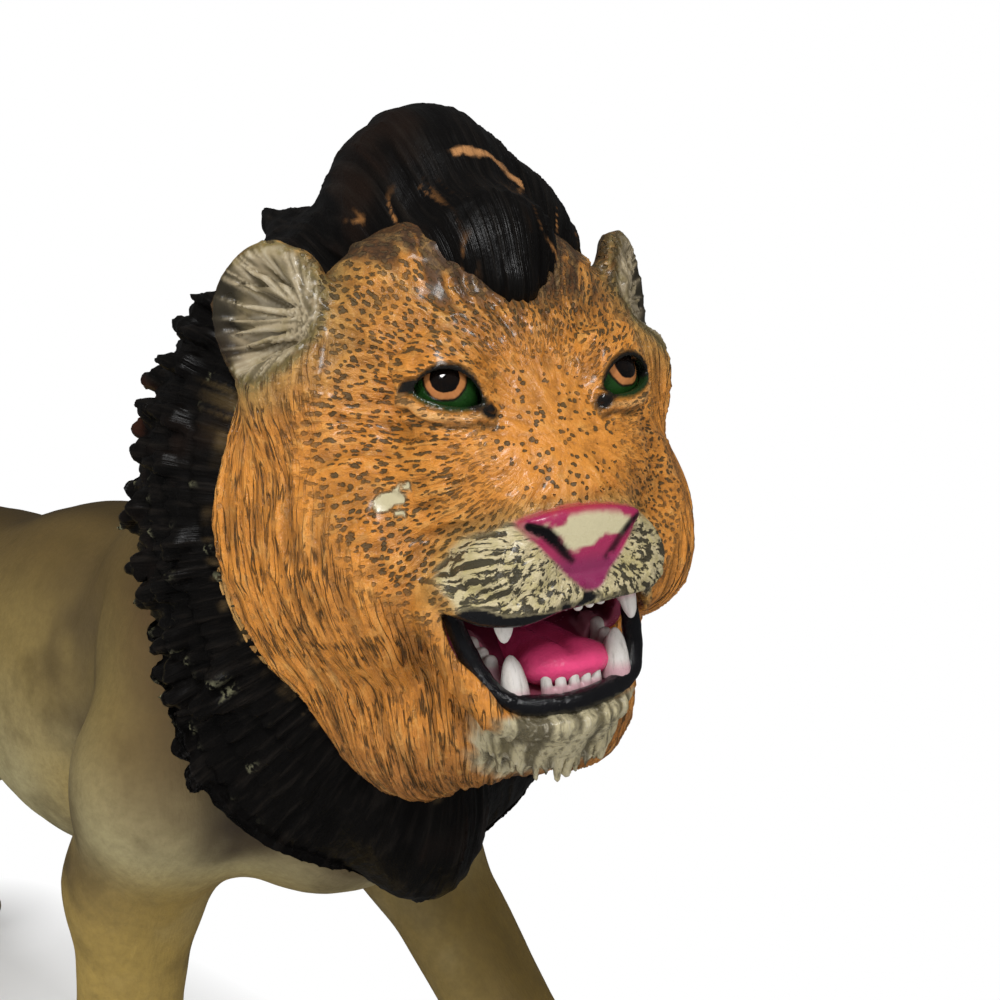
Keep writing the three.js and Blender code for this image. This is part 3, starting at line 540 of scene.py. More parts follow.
def add_beard(field):
    """Three staggered rows of clumps on the chin."""
    rows = ((15, 10.6, -45.2, 4.6, 0.95), (14, 10.2, -48.2, 4.8, 1.05), (12, 9.0, -51.2, 3.6, 1.05))
    for row, (count, wide, top, drop, fat) in enumerate(rows):
        for i in range(count):
            y = -wide + 2 * wide * i / (count - 1)
            low = 0.5 + 0.5 * math.sin(2.4 * i + row)
            x = -1.6 - 1.1 * row - 0.026 * y * y
            start = [x, y, top + 0.02 * y * y]
            end = [x - 0.9 - 0.4 * row, y * 0.94 + 0.3, top - drop - 0.9 * low + 0.03 * y * y]
            field.add(limb(start, end, fat, 0.45), 0.25)


def far_jaw(x, y, z):
    """What is trimmed off the jaw on the far side, which the photograph shows slim."""
    return np.maximum(-(0.485 * (x + 5) + 0.866 * (y - 14.6) - 0.122 * (z + 38.5)), 0.6 * (z + 37))


def make_face():
    field = Field([-47, -43, -66], [18, 43, 38], 0.37)
    field.add_all(face_forms, FACE_BLEND)
    field.add(bridge, 5.0)
    for side in (1, -1):
        # lids, a low brow and the fold under the eye
        field.add(ellipsoid(EYE * [1, side, 1], [EYE_RADIUS + 1.5] * 3), 2.5)
        brow = [[0.2, 9.2 * side, 4.2], [-1.6, 13.2 * side, 5.0], [-6.0, 17.6 * side, 3.6]]
        fold = [[2.0, 9.4 * side, -5.6], [0.0, 13.2 * side, -6.2], [-3.6, 17.8 * side, -4.2]]
        field.add_all(chain(brow, [1.0, 1.3, 1.1]), 3.0)
        field.add_all(chain(fold, [0.75, 0.9, 0.6]), 1.4)
        field.add(ellipsoid([2.3, 8.8 * side, -3.3], [1.3, 1.3, 1.0]), 0.8)
        # whisker pad
        field.add(ellipsoid([1.5, 6.8 * side, -25.4], [8.0, 7.2, 5.2]), 3.0)
    field.add(Form([-4, -12, -30], [13, 12, -15], nose_pad), 1.2)
    for slit in nostrils:
        field.cut(slit, 0.5)
    for side in (1, -1):
        add_ear(field, side)
    # the skin that carries the lips, and the opening between them
    under_lip = LOWER_LIP - [1.4, 0, 1.2]
    field.add_all(chain(under_lip[[*range(0, LIP_POINTS - 1, 6), LIP_POINTS - 1]], 2.1), 4.0)
    field.cut(mouth_form, 1.0, 1.2)
    for over, lip in zip(chain(UPPER_LIP + [-0.7, 0, 1.1], 1.35), chain(UPPER_LIP, 0.62)):
        field.add(over, 1.6)
        field.add(lip, 0.5)
    for side in (1, -1):
        field.cut(ellipsoid(EYE * [1, side, 1], [EYE_RADIUS + 0.08] * 3))
        field.cut(eye_cut(side), 0.35)
    # grooves: in the middle of the upper lip, and down the bridge
    field.cut(limb([9.6, 0, -27.4], [9.2, 0, -31], 0.35, 0.5), 0.8)
    field.cut(limb([3.0, 0.5, 5.5], [9.9, 0.3, -14], 0.3, 0.25), 1.2)
    add_beard(field)
    field.cut(Form([-47, 4, -66], [18, 43, -30], far_jaw), 5.0)
    field.cut(half_space([-45, 0, 0], [1, 0, 0]))
    return field.skin()


def fur_flow(p):
    """Ways across the fur: away from the bridge of the nose, and down from the crown to the throat."""
    bend = np.stack([layered(p, 24, seed) for seed in (3, 4, 5)], 1)
    q = p + 1.9 * bend
    away = np.hypot(q[:, 1], q[:, 2] + 8)
    meridian = np.arctan2(q[:, 1], q[:, 0] + 38)
    zone = smooth(25, 33, away + 3.0 * bend[:, 0]) * smooth(14, 2, q[:, 2])
    return away, meridian, zone, q


def flame(p):
    """The strands that rise from the forehead into the black of the crest."""
    return ridged(np.arctan2(p[:, 1], p[:, 2] + 30) * 52, np.hypot(p[:, 1], p[:, 2] + 30), 1.5, 11, 51)


# the crevice colour is a painted shade, used between the chin's clumps
ORANGE, CREAM, CREVICE_SHADE = (.64, .245, .036), (.56, .475, .28), (.075, .06, .03)
BLACK_LIP, BLACK_LINE = (.008, .008, .009), (.010, .009, .008)

vertices, faces = make_face()
away, meridian, zone, q = fur_flow(vertices)
x, y, z = vertices.T
mane_gap, mouth_gap, outline = mane_at(vertices), mouth_room(x, y, z), nose_outline(y, z)
rough1, rough2, rough3 = layered(vertices, 2.2, 21), layered(vertices, 5.0, 22), layered(vertices, 11, 23)
on_nose = smooth(0.5, -0.1, outline) * smooth(5.5, 7.0, x - 0.31 * (z + 17.3))
muzzle = ((x - 2) / 15) ** 2 + (y / 16.8) ** 2 + ((z + 26) / 9.4) ** 2
muzzle_mask = smooth(1.08, 0.9, muzzle + 0.16 * rough2 + 0.08 * rough1)
muzzle_mask *= smooth(-15.2, -17.4, z + 0.6 * rough1 - 0.05 * np.abs(y))
muzzle_band = smooth(1.75, 1.05, muzzle + 0.25 * rough2) * smooth(-12, -16, z)
chin_mask = smooth(-43.2, -44.4, z) * smooth(-13, -9.5, x + 1.2 * rough1)
chin_mask *= smooth(12.5, 10.5, np.abs(y) + 1.2 * rough1)

# ears: out of the dish, outwards along it, and up
ear_out, ear_along, ear_up = ((on_left(vertices) - EAR_CENTER) @ turn("Z", EAR_TURN)).T
ear_round = np.hypot(ear_along / 10.5, ear_up / 10.3)
ear_mask = smooth(1.02, 0.9, ear_round) * smooth(-2, 0, ear_out)
ear_near = smooth(1.75, 1.0, ear_round) * smooth(-12, -2, ear_out)
ear_rim = smooth(0.84, 0.95, ear_round + 0.1 * noise(vertices, 1.2, 25)) * smooth(1.15, 1.0, ear_round)
ear_rim *= smooth(-4, 0, ear_out)
ear_dish = smooth(1.4, 0.5, ear_out) * smooth(1.0, 0.85, ear_round) * smooth(-2, 0, ear_out)
fan_up, fan_along = ear_up + 2.4, ear_along + 9.0
ear_stripe = ridged(np.arctan2(fan_up, fan_along) * 9, np.hypot(fan_up, fan_along), 0.5, 9, 27)
ear_outer = smooth(3.5, 7.5, ear_along + 1.2 * rough1 - 3.0 * (ear_stripe - 0.5))

# eyes
eye_gap, opening_point = opening_at(vertices)
near_eye = np.abs(opening_point[:, 0]) < 7
eye_gap = np.where(near_eye, np.minimum(eye_gap, 9.0), 9.0)
lid_height = np.where(near_eye, opening_point[:, 2], 0)
lid = smooth(1.0, 0.35, eye_gap + 0.15 * rough1)
upper_lid = lid * smooth(-0.4, 0.6, lid_height)
below_eye = smooth(0.2, -0.9, lid_height)
under = below_eye * (np.abs(lid_height) < 6)

# strands of the ruff, chin and cheeks: relief along the skin's own normals
strand = 0.65 * ridged(meridian * 34, q[:, 2], 2.3, 15, 31) + 0.35 * ridged(meridian * 34, q[:, 2], 1.15, 9, 33)
tufted = ridged(np.arctan2(q[:, 1], q[:, 2] + 8) * 20, away, 1.6, 4.5, 35)
clump = ridged(y + 0.35 * rough2, z, 1.45, 9, 47)
bare = np.maximum.reduce([on_nose, smooth(3.0, 1.0, mouth_gap), ear_mask, smooth(2.6, 0.9, eye_gap), chin_mask])
height = (1.35 * (strand - 0.62) * zone + 0.8 * (tufted - 0.6) * (1 - zone)) * ((1 - bare) * smooth(3, 9, away))
height += 0.1 * rough1 * (1 - bare) + 0.35 * (ear_stripe - 0.6) * ear_mask
eye_roll = smooth(0.8, 1.4, eye_gap) * smooth(2.4, 1.8, eye_gap)
eye_fold = smooth(1.9, 2.2, eye_gap) * smooth(3.2, 2.6, eye_gap)
height += (0.45 * eye_roll - 0.35 * eye_fold) * below_eye
height += (0.9 * (clump - 0.6) + 0.2 * layered(vertices * [1, 1, 0.35], 1.3, 41)) * chin_mask
height -= 0.25 * smooth(0.55, 0.75, np.abs(layered(vertices, 1.9, 43))) * muzzle_mask
vertices = raised(vertices, faces, height)
# painted shade: where the strands' relief is low, this value darkens the colour
groove = (0.7 * smooth(0.52, 0.30, strand) * zone + 0.5 * smooth(0.5, 0.2, tufted) * (1 - zone)) * (1 - bare)

# paler rim where the orange meets the black, and a dark hairline with orange strands let into it
rim = smooth(1.3, 0.4, mane_gap + 0.5 * rough1) * smooth(6, -6, z)
flames = flame(vertices)
hairline = smooth(5.5, 2.0, mane_gap + 8.0 * (flames - 0.6) + 1.2 * rough2) * smooth(9, 13, z)
hairline *= smooth(26, 16, np.abs(y))
between_flames = smooth(9, 3, mane_gap) * smooth(0, 10, z) * smooth(0.8, 0.5, flames) * 0.8 * (1 - hairline)

# worn chip on the right cheek
chip = np.zeros(len(x))
chip_rough = 0.35 * noise(vertices, 0.8, 24)
for at, size in (
    ([-7, -21.0, -14.3], 1.15), ([-6.2, -18.9, -14.2], 1.25),
    ([-6, -17.6, -12.8], 0.95), ([-5.6, -18.9, -16.0], 0.75),
):
    near_chip = np.linalg.norm((vertices - at) * [0.8, 1, 1.15], axis=1) + 0.9 * rough1 + chip_rough
    chip = np.maximum(chip, smooth(size + 0.25, size - 0.1, near_chip))

# nose leather, worn to cream in its middle
petal = smooth(-1.6, -0.5, outline + 0.5 * rough1)
worn = smooth(0.0, 0.15, 0.5 * rough1 + 0.3 * rough2 + 0.65 - 0.22 * np.abs(z + 20.0) - 0.05 * np.abs(y))
nose_paint = painted((.34, .022, .085), [
    (smooth(-22.5, -25, z), (.23, .022, .085)),
    (worn * (1 - petal * 0.8), (.56, .50, .31)),
    (smooth(-18.2, -17.2, z + 0.5 * rough1), (.38, .03, .06)),
    (smooth(0.55, 0.15, nearest(vertices, nostrils)), (.004, .003, .004)),
])

# lip line, what shows of the moulding behind the lower lip, and the tear duct and the outer corner of the eye
lip_gap = nearest(vertices, chain(UPPER_LIP, 0.65))
lip_line = np.maximum(smooth(0.8, 0.4, mouth_gap + 0.3 * rough1), smooth(0.35, 0.0, lip_gap + 1.1 * rough1))
near_half, far_half = np.split(LOWER_LIP, 2)
near_y = np.interp(-z, -near_half[:, 2], near_half[:, 1])
far_y = np.interp(z, far_half[:, 2], far_half[:, 1])
gum = smooth(-0.3, -1.3, x - np.interp(y, LOWER_LIP[:, 1], LOWER_LIP[:, 0])) * smooth(3.5, 2.5, mouth_gap)
gum *= smooth(0.2, 0.8, y - near_y) * smooth(0.2, 0.8, far_y - y) * smooth(-28, -31, z) * (1 - lip_line)
eye_corners = [
    limb([3.0, 8.2, -4.0], [1.6, 10.4, -2.6], 1.15, 1.0), limb([-0.4, 16.0, 0.2], [-4.4, 20.6, 0.2], 1.35, 0.3),
]
duct = smooth(0.35, -0.25, nearest(on_left(vertices), eye_corners))

paint = painted(ORANGE, [
    (smooth(2, 14, z) * 0.85, (.51, .215, .040)),
    (smooth(0.0, 0.8, rough3) * 0.35, (.42, .17, .035)),
    (smooth(0.1, 0.7, rough2) * 0.25, (.66, .33, .1)),
    # painted shade: darker low on the face, under the chin
    (smooth(-42, -58, z) * 0.8 * (1 - chin_mask), (.33, .13, .032)),
    (smooth(14, 24, np.abs(y)) * smooth(-4, 6, z) * smooth(-8, -16, x) * 0.7, (.40, .22, .06)),
    (ear_near * smooth(-14, -22, x) * 0.8, (.26, .18, .06)),
    (muzzle_band * 0.75, (.44, .26, .075)),
    (muzzle_mask, CREAM),
    (muzzle_mask * smooth(-0.1, 0.5, rough2 + 0.5 * rough1) * 0.5, (.36, .30, .13)),
    (chin_mask, (.49, .425, .26)),
    # painted shade in the crevices between the chin's clumps
    (chin_mask * smooth(0.56, 0.28, clump) * 0.85, CREVICE_SHADE),
    (chin_mask * smooth(0.0, 0.7, rough2) * 0.4, (.30, .24, .09)),
    (ear_mask, (.36, .29, .18)),
    (ear_rim, (.19, .145, .055)),
    (ear_dish * 0.6, (.10, .075, .032)),
    (smooth(0.66, 0.36, ear_stripe) * ear_mask * 0.7, (.060, .046, .018)),
    (smooth(0.74, 0.92, ear_stripe) * ear_mask * 0.6, (.52, .45, .32)),
    (ear_mask * smooth(0.1, 0.6, rough2 + 0.4 * rough1) * 0.45, (.20, .15, .045)),
    (ear_outer * np.maximum(ear_mask, ear_rim) * 0.92, (.014, .012, .008)),
    (rim * 0.55, (.46, .33, .12)),
    (hairline * 0.93, (.012, .007, .004)),
    (between_flames, (.045, .020, .008)),
    (chip, (.50, .44, .27)),
])
paint = paint * (1 - on_nose[:, None]) + nose_paint * on_nose[:, None]
paint = painted(paint, [
    (lip_line * (1 - on_nose), BLACK_LIP),
    (gum, (.40, .10, .15)),
    (lid, (.012, .03, .008)),
    (upper_lid, (.01, .009, .008)),
    (smooth(0.1, -0.3, eye_gap) * (1 - upper_lid * 0.6), (.012, .035, .009)),
    (under * smooth(0.9, 1.1, eye_gap) * smooth(2.0, 1.6, eye_gap) * 0.7, (.66, .36, .13)),
    (under * smooth(1.9, 2.1, eye_gap) * smooth(2.7, 2.4, eye_gap + 0.3 * rough1) * 0.8, (.10, .06, .02)),
    (duct, BLACK_LINE),
])
dressed = [on_nose, muzzle_mask, chin_mask, ear_mask, 0.4 * hairline, lip_line, lid, duct, chip, gum]
plain_skin = 1 - np.maximum.reduce(dressed)
masks = np.stack([np.clip(plain_skin, 0, 1), muzzle_mask * (1 - on_nose) * (1 - lip_line), chin_mask], 1)
face = make(
    "face", vertices, faces, "head", "face_vinyl", ["face_shell"],
    bent=q, zone=zone, groove=groove, paint=paint, masks=masks,
    gloss=np.maximum.reduce([lip_line, lid, on_nose * 0.5, duct]) - 3.5 * hairline,
)


# mane
MANE_MIDDLE, MANE_REACH = -20.0, 46.0
LOCK_COUNT, LOCK_ROWS, LOCK_HEIGHT = 32, 4.5, 2.0
TUFT_ROWS, TUFTS_IN_ROW = 6, 34


def mane_angle(p):
    """Turn round the mane from its crest: 0 on top, half a turn at the bib."""
    return np.arctan2(p[:, 1], p[:, 2] - MANE_MIDDLE)


def lock_relief(p):
    """The large staggered clumps, each rising to its tip and dropping behind it."""
    around = mane_angle(p) / (2 * math.pi) * LOCK_COUNT
    back = (-20 - p[:, 0]) / 50 * LOCK_ROWS
    row = np.floor(back)
    within, along = (around + row / 2) % 1, back - row
    return LOCK_HEIGHT * (1 - np.abs(2 * within - 1)) ** 0.8 * (along * smooth(1.0, 0.93, along))


def scales(p, width, length, seed):
    """Small pointed scales in staggered rows: height, how near its tip a point lies, and a chance for each."""
    bend = 1.4 * noise(p, 9.0, seed)
    u = (mane_angle(p) * MANE_REACH + 0.5 * bend) / width
    v = (-p[:, 0] + bend + 0.12 * np.abs(mane_angle(p)) * MANE_REACH) / length
    row = np.floor(v)
    chance = hashed(np.stack([np.floor(u + row / 2), row], 1).astype(int), seed)
    across, along = 2 * ((u + row / 2) % 1) - 1, v % 1
    point = np.clip(1 - np.abs(across) ** 1.5 * (0.55 + 0.6 * along), 0, 1)
    shape = point * along ** 0.8 * smooth(1.0, 0.9, along + 0.15 * np.abs(across))
    return shape * (0.55 + 0.45 * chance), smooth(0.62, 0.9, along) * smooth(0.6, 0.2, np.abs(across)), chance


def slope_of(points, value_at, reach=0.3):
    steps = reach * np.eye(3)
    slope = np.stack([value_at(points + step) - value_at(points - step) for step in steps], 1)
    return slope / np.maximum(np.linalg.norm(slope, axis=1, keepdims=True), 1e-6)


def along_rays(centers, rays, value_at, reach=95.0, count=190):
    """The outermost surface point on each ray."""
    found = np.zeros(len(rays))
    for distance in np.linspace(0, reach, count):
        found[value_at(centers + rays * distance) < 0] = distance
    low, high = found, found + reach / (count - 1)
    for _ in range(12):
        middle = (low + high) / 2
        inside = value_at(centers + rays * middle[:, None]) < 0
        low, high = np.where(inside, middle, low), np.where(inside, high, middle)
    return centers + rays * low[:, None]


def tuft_paths():
    """Rows of pointed tufts that lie back along the sides and stand out at the silhouette."""
    rng = np.random.default_rng(11)
    starts = []
    for row in range(TUFT_ROWS):
        x = -26 - 38 * row / (TUFT_ROWS - 1)
        for k in range(TUFTS_IN_ROW):
            theta = (k + 0.5 * (row % 2) + rng.uniform(-0.4, 0.4)) / TUFTS_IN_ROW * 2 * math.pi
            if 0.55 <= abs(math.remainder(theta, 2 * math.pi)) <= 2.3:
                starts.append([x + rng.uniform(-2.5, 2.5), theta, rng.uniform(0, 1)])
    x, theta, chance = np.array(starts).T
    rays = np.stack([0 * x, np.sin(theta), np.cos(theta)], 1)
    root = along_rays(np.stack([x, 0 * x - 3, 0 * x + MANE_MIDDLE], 1), rays, mane_at)
    clear = face_at(root) > 1.0
    root, rays, chance = root[clear], rays[clear], chance[clear]
    down = -0.35 * np.abs(rays[:, 1]) + 0.5 * np.maximum(rays[:, 2], 0)
    fall = np.stack([-1.0 + 0 * down, 0.15 * rays[:, 1], down], 1)
    fall += 0.3 * rng.uniform(-1, 1, fall.shape)
    length = 8.0 + 4.5 * chance
    lift = 1.1 + 1.7 * rng.uniform(0, 1, len(chance)) ** 2
    paths, at = [root - 0.9 * slope_of(root, mane_at)], root
    for share in (0.1, 0.6, 1.25):
        normal = slope_of(at, mane_at)
        go = fall - (fall * normal).sum(1, keepdims=True) * normal
        go /= np.linalg.norm(go, axis=1, keepdims=True)
        at = at + go * length[:, None] / 3
        at = at - mane_at(at)[:, None] * slope_of(at, mane_at)
        paths.append(at + slope_of(at, mane_at) * (lift * share)[:, None])
    return np.stack(paths, 1)


def make_mane(paths):
    field = Field([-96, -62, -88], [2, 60, 56], 0.6)
    field.add_all(mane_forms, MANE_BLEND)
    for path in paths:
        field.add_all(chain(path, [1.3, 1.9, 1.25, 0.3]), 0.8)
    # fuller hair behind the ears, and one lock that stands out on each side of the crest
    for side in (1, -1):
        field.add(limb([-46, 11 * side - 3, 24], [-58, 14 * side - 2, 29], 8.0, 5.5), 4.0)
        field.add(limb([-58, 14 * side - 2, 31], [-66, 16 * side - 2, 35], 4.5, 2.6), 3.0)
        field.add(limb([-66, 16 * side - 2, 35], [-70, 16.5 * side - 2, 38.5], 2.6, 0.6), 1.0)
    return field.skin()


paths = tuft_paths()
vertices, faces = make_mane(paths)
x, y, z = vertices.T
theta = mane_angle(vertices)
mane_side = smooth(0.75, 1.05, np.abs(theta)) * smooth(2.55, 2.25, np.abs(theta)) * smooth(-2, -6, x)
shape, tip, chance = scales(vertices, 2.6, 5.2, 61)
# strands run up and back on the crest, down on the bib, back on the sides
hair = ridged(theta * MANE_REACH, x + 0.3 * z, 1.9, 13, 63)
thin = ridged(theta * MANE_REACH, x + 0.3 * z, 1.0, 8, 65)
relief = 0.28 * lock_relief(vertices) * (0.35 + 0.65 * mane_side) + mane_side * (1.25 * shape - 0.35)
relief += (1 - mane_side) * (0.9 * (0.6 * hair + 0.4 * thin - 0.55)) + 0.3 * mane_side * (thin - 0.6)
relief += 0.5 * smooth(-76, -84, z) * (hair - 0.5)
worn = mane_side * tip * smooth(0.55, 0.8, chance)
vertices = raised(vertices, faces, relief)
# the flat ring that turns on the torso's neck: nothing of the mane passes its plane
beyond = (vertices - NECK) @ NECK_AXIS - 0.25
vertices = vertices - np.minimum(beyond, 0)[:, None] * NECK_AXIS
x, y, z = vertices.T

crest_gap = nearest(vertices, [
    limb([-18.4, -.5, 35.2], [-19.2, 5.0, 35.0], 0.55, 0.35),
    limb([-19.8, 5.6, 34.6], [-18.0, 9.6, 29.5], 0.605, 0.385),
    limb([-11.5, 4.8, 25.5], [-11.2, 5.8, 23.8], 0.495, 0.315),
])
brown = smooth(0.15, 0.7, layered(vertices, 14, 71) + 0.4 * (hair - 0.5))
patch = smooth(6.5, 3.5, np.linalg.norm(vertices - [-60, -44, 3], axis=1) + 1.5 * noise(vertices, 3, 78))
near_ear = smooth(17, 8, np.linalg.norm((on_left(vertices) - [-30, 30, 10]) * [1, 1, 0.8], axis=1))
to_face = face_at(vertices)
rising = smooth(5.0, 0.8, to_face) * smooth(0.80, 0.93, flame(vertices)) * smooth(8, 14, z)
rising *= smooth(3, 9, np.abs(y)) * smooth(30, 24, np.abs(y))
mane_paint = painted((.0036, .0031, .0028), [
    (brown * 0.44, (.020, .010, .006)),
    (smooth(0.5, 0.0, crest_gap + 0.7 * noise(vertices, 1.2, 77)), (.42, .2, .075)),
    (patch * 0.6, (.055, .016, .007)),
    (near_ear * smooth(0.35, 0.7, hair) * 0.6, (.10, .065, .022)),
    (smooth(1.6, 0.3, to_face) * smooth(0.6, 0.85, hair) * 0.2 * smooth(8, 0, z), (.25, .16, .06)),
    (rising, (.33, .145, .042)),
])
tips = worn * smooth(-0.1, 0.25, noise(vertices, 7, 79)) * 0.7
tip_rough = 0.5 * noise(vertices, 1.3, 80)
ends = paths[:, 3]
chosen = (ends[:, 0] < -50) & (ends[:, 2] < -12) & (hashed((ends * 10).astype(int)[:, :2], 7) < 0.55)
for end in ends[chosen]:
    near_tip = np.linalg.norm((vertices - end - [0.6, 0, 0.8]) * [1, 1, 0.6], axis=1)
    tips = np.maximum(tips, smooth(1.9, 0.9, near_tip + tip_rough))
# painted shade: the groove value darkens the mane where its relief sinks
mane = make(
    "mane", vertices, faces, "head", "mane_vinyl", ["mane_shell"],
    paint=mane_paint, worn=tips, groove=smooth(0.1, -0.45, relief),
)


# mouth, teeth, tongue, eyes
lower_gum = curve_through([
    [-12, -9.6, -35.2], [-7, -9.6, -38.2], [-2.5, -8.9, -41], [.6, -6.6, -42.4], [2, 0, -42.8],
    [.6, 6.6, -42.4], [-2.5, 8.9, -41], [-7, 9.6, -38.2], [-12, 9.6, -35.2],
], 33)
upper_gum = curve_through([
    [-10, -10.2, -29.2], [-4, -9.8, -29.8], [1, -8.8, -30.2], [3.6, -6, -30.4], [4.6, 0, -30.6],
    [3.6, 6, -30.4], [1, 8.8, -30.2], [-4, 9.8, -29.8], [-10, 10.2, -29.2],
], 33)


def make_liner():
    """The skin of the mouth's room, kept inside the face, with gums and the ridges of the palate."""
    box = [-24, -18, -52], [14, 18, -24], 0.4
    field, shell = Field(*box), Field(*box)
    field.add(Form([-23, -18, -51], [14, 17, -24], lambda x, y, z: mouth_room(x, y, z) - 2.0))
    shell.add_all(face_forms, FACE_BLEND)
    shell.value += 0.8
    field.value = np.maximum(field.value, shell.value)
    field.cut(mouth_form, 0.4)
    field.add_all(chain(lower_gum, 1.5) + chain(upper_gum, 0.9), 0.8)
    for i in range(7):
        x = -15 + 2.6 * i
        field.add(limb([x, -7, -29.4 - 0.03 * i], [x + 0.8, 7, -29.4], 0.7, 0.7), 0.8)
    field.value = np.maximum(field.value, shell.value)
    return field.skin()


vertices, faces = make_liner()
gum_near = nearest(vertices, chain(lower_gum, 1.4) + chain(upper_gum, 1.4))
# painted shade: darker towards the back of the mouth
throat_shade = smooth(-2, -11, vertices[:, 0])
liner_paint = painted((.40, .055, .13), [
    (throat_shade * 0.9, (.10, .010, .022)),
    (smooth(-32.5, -31, vertices[:, 2]) * 0.7, (.13, .014, .028)),
    (smooth(1.4, 0.2, gum_near + 0.3 * layered(vertices, 1.6, 81)) * (1 - 0.5 * throat_shade), (.62, .27, .33)),
])
liner = make("mouth_lining", vertices, faces, "head", "mouth_vinyl", ["mouth_liner"], paint=liner_paint)

share = np.linspace(-1, 1, LIP_POINTS)
lip_radii = 1.4 - 0.45 * smooth(0.6, 0.98, np.abs(share))
lip_radii += 0.09 * noise(np.stack([share * 60, share], 1), 1.6, 82)
lip_radii *= np.where(np.abs(share) > 0.985, 0.6, 1.0)
lips = make("lips", *tube(LOWER_LIP, lip_radii, 20, 0.92, (1, 0, 0.3)), "head", "mouth_vinyl")

field = Field([-22, -12, -48], [6, 12, -28], 0.35)
field.add(limb([-13.5, 0.2, -37.2], [-2.4, 0.8, -38.8], 3.1, 2.9, 2.0))
field.add(ellipsoid([-1.5, 0.8, -38.8], [4.2, 6.4, 2.3]), 2.5)
field.cut(limb([-13, 0.3, -34.2], [3, 0.8, -36.5], 0.5, 0.3), 1.8)
tongue = make("tongue", *field.skin(), "head", "tongue_vinyl", ["tongue"])


def tooth(node, at, aim, length, radius):
    """A blunt cone with a slight waist at the gum."""
    aim = np.array(aim, float)
    aim /= np.linalg.norm(aim)
    along = np.linspace(-1.4, length, 34)
    share = np.clip(along / length, 0, 1)
    radii = radius * np.sqrt(np.maximum(1 - share ** 3.2, 0.0004)) * (1 - 0.34 * share)
    path = np.array(at) + along[:, None] * aim + (0.5 * share ** 2)[:, None] * np.array([-0.8, 0, 0])
    vertices, faces = tube(path, radii, 20, up=(0, 1, 0.1))
    vertices = raised(vertices, faces, 0.1 * layered(vertices, 1.7, 83))
    root = np.repeat(smooth(0.28, -0.05, share), 20)
    return make(node + "_crown", vertices, faces, "head", "tooth_vinyl", [node], root=root)


def tooth_row(name, node, bend, count, height, radius, up):
    """Rounded pegs on one root bar, along a curve through three points."""
    places = curve_through(bend, 2 * count + 1)[1::2]
    field = Field(places.min(0) - 5.0, places.max(0) + 5.0, 0.22)
    for i, at in enumerate(places):
        tall = height * (0.9 + 0.14 * math.sin(2.1 * i + 1))
        field.add(limb(at - [0, 0, 1.0 * up], at + [0, 0, (tall - radius) * up], radius, radius * 0.86), 0.22)
    field.add_all(chain(places - [0, 0, 0.9 * up], radius * 0.8), 0.2)
    vertices, faces = field.skin()
    root = smooth(0.35, -0.5, (vertices[:, 2] - places[:, 2].mean()) * up)
    return make(name, vertices, faces, "head", "tooth_vinyl", [node], root=root)


teeth = []
for name, side in SIDES.items():
    aim_up, aim_down = [0.1, 0.06 * side, 1], [0.18, 0.1 * side, -1]
    upper_size = 3.8 - 0.3 * side, 1.45 - 0.15 * side
    teeth.append(tooth(f"upper_canine_{name}", [2.3, 9.1 * side, -30.2], aim_down, *upper_size))
    teeth.append(tooth(f"lower_canine_{name}", [0.0, 7.6 * side, -41.0 + 0.7 * side], aim_up, 5.5, 2.05))
bend = [3.0, -5.6, -30.2], [4.0, 0, -30.2], [3.0, 5.6, -30.2]
teeth.append(tooth_row("upper_incisor_row", "upper_incisors", bend, 6, 1.2, 0.8, -1))
bend = [.4, -4.2, -41.0], [1.4, 0.5, -41.2], [.4, 5.0, -40.7]
teeth.append(tooth_row("lower_incisor_row", "lower_incisors", bend, 5, 2.6, 0.84, 1))
for name, side in SIDES.items():
    bend = [-.5, 10.3 * side, -30.2], [-3.5, 10.5 * side, -29.9], [-7.5, 10.6 * side, -29.6]
    teeth.append(tooth_row(f"upper_premolar_row_{name}", f"upper_premolars_{name}", bend, 3, 1.8, 0.95, -1))
    bend = [-3.0, 9.0 * side, -40.0], [-6.2, 9.5 * side, -38.2], [-10.5, 9.9 * side, -35.8]
    teeth.append(tooth_row(f"lower_premolar_row_{name}", f"lower_premolars_{name}", bend, 3, 3.0, 1.2, 1))


def eyeball(name, side):
    """A ball with a slightly domed pupil; its own frame looks along X."""
    rings, sides = 64, 72
    gaze = turn("Z", 19 * side) @ turn("Y", -16)
    tilt, angle = np.linspace(0.006, math.pi - 0.006, rings), np.arange(sides) / sides * 2 * math.pi
    t, a = np.meshgrid(tilt, angle, indexing="ij")
    ball = np.stack([np.cos(t), np.sin(t) * np.cos(a), np.sin(t) * np.sin(a)], -1).reshape(-1, 3)
    ball, faces = capped(ball, ring_faces(rings, sides)[:, [0, 3, 2, 1]], sides)
    off_axis = np.hypot(ball[:, 1], ball[:, 2]) * EYE_RADIUS
    dome = 0.28 * smooth(2.9, 1.2, off_axis) * (ball[:, 0] > 0)
    place = (ball * (EYE_RADIUS + dome)[:, None]) @ gaze.T + EYE * [1, side, 1]
    look = ball * EYE_RADIUS * [1, side, 1]
    return make(f"eyeball_{name}", place, faces, "head", "eye_vinyl", [f"eye_{name}"], look=look)


eyes = [eyeball(name, side) for name, side in SIDES.items()]


# body and tail
def shares(values):
    return np.array(values, float) * TRUNK


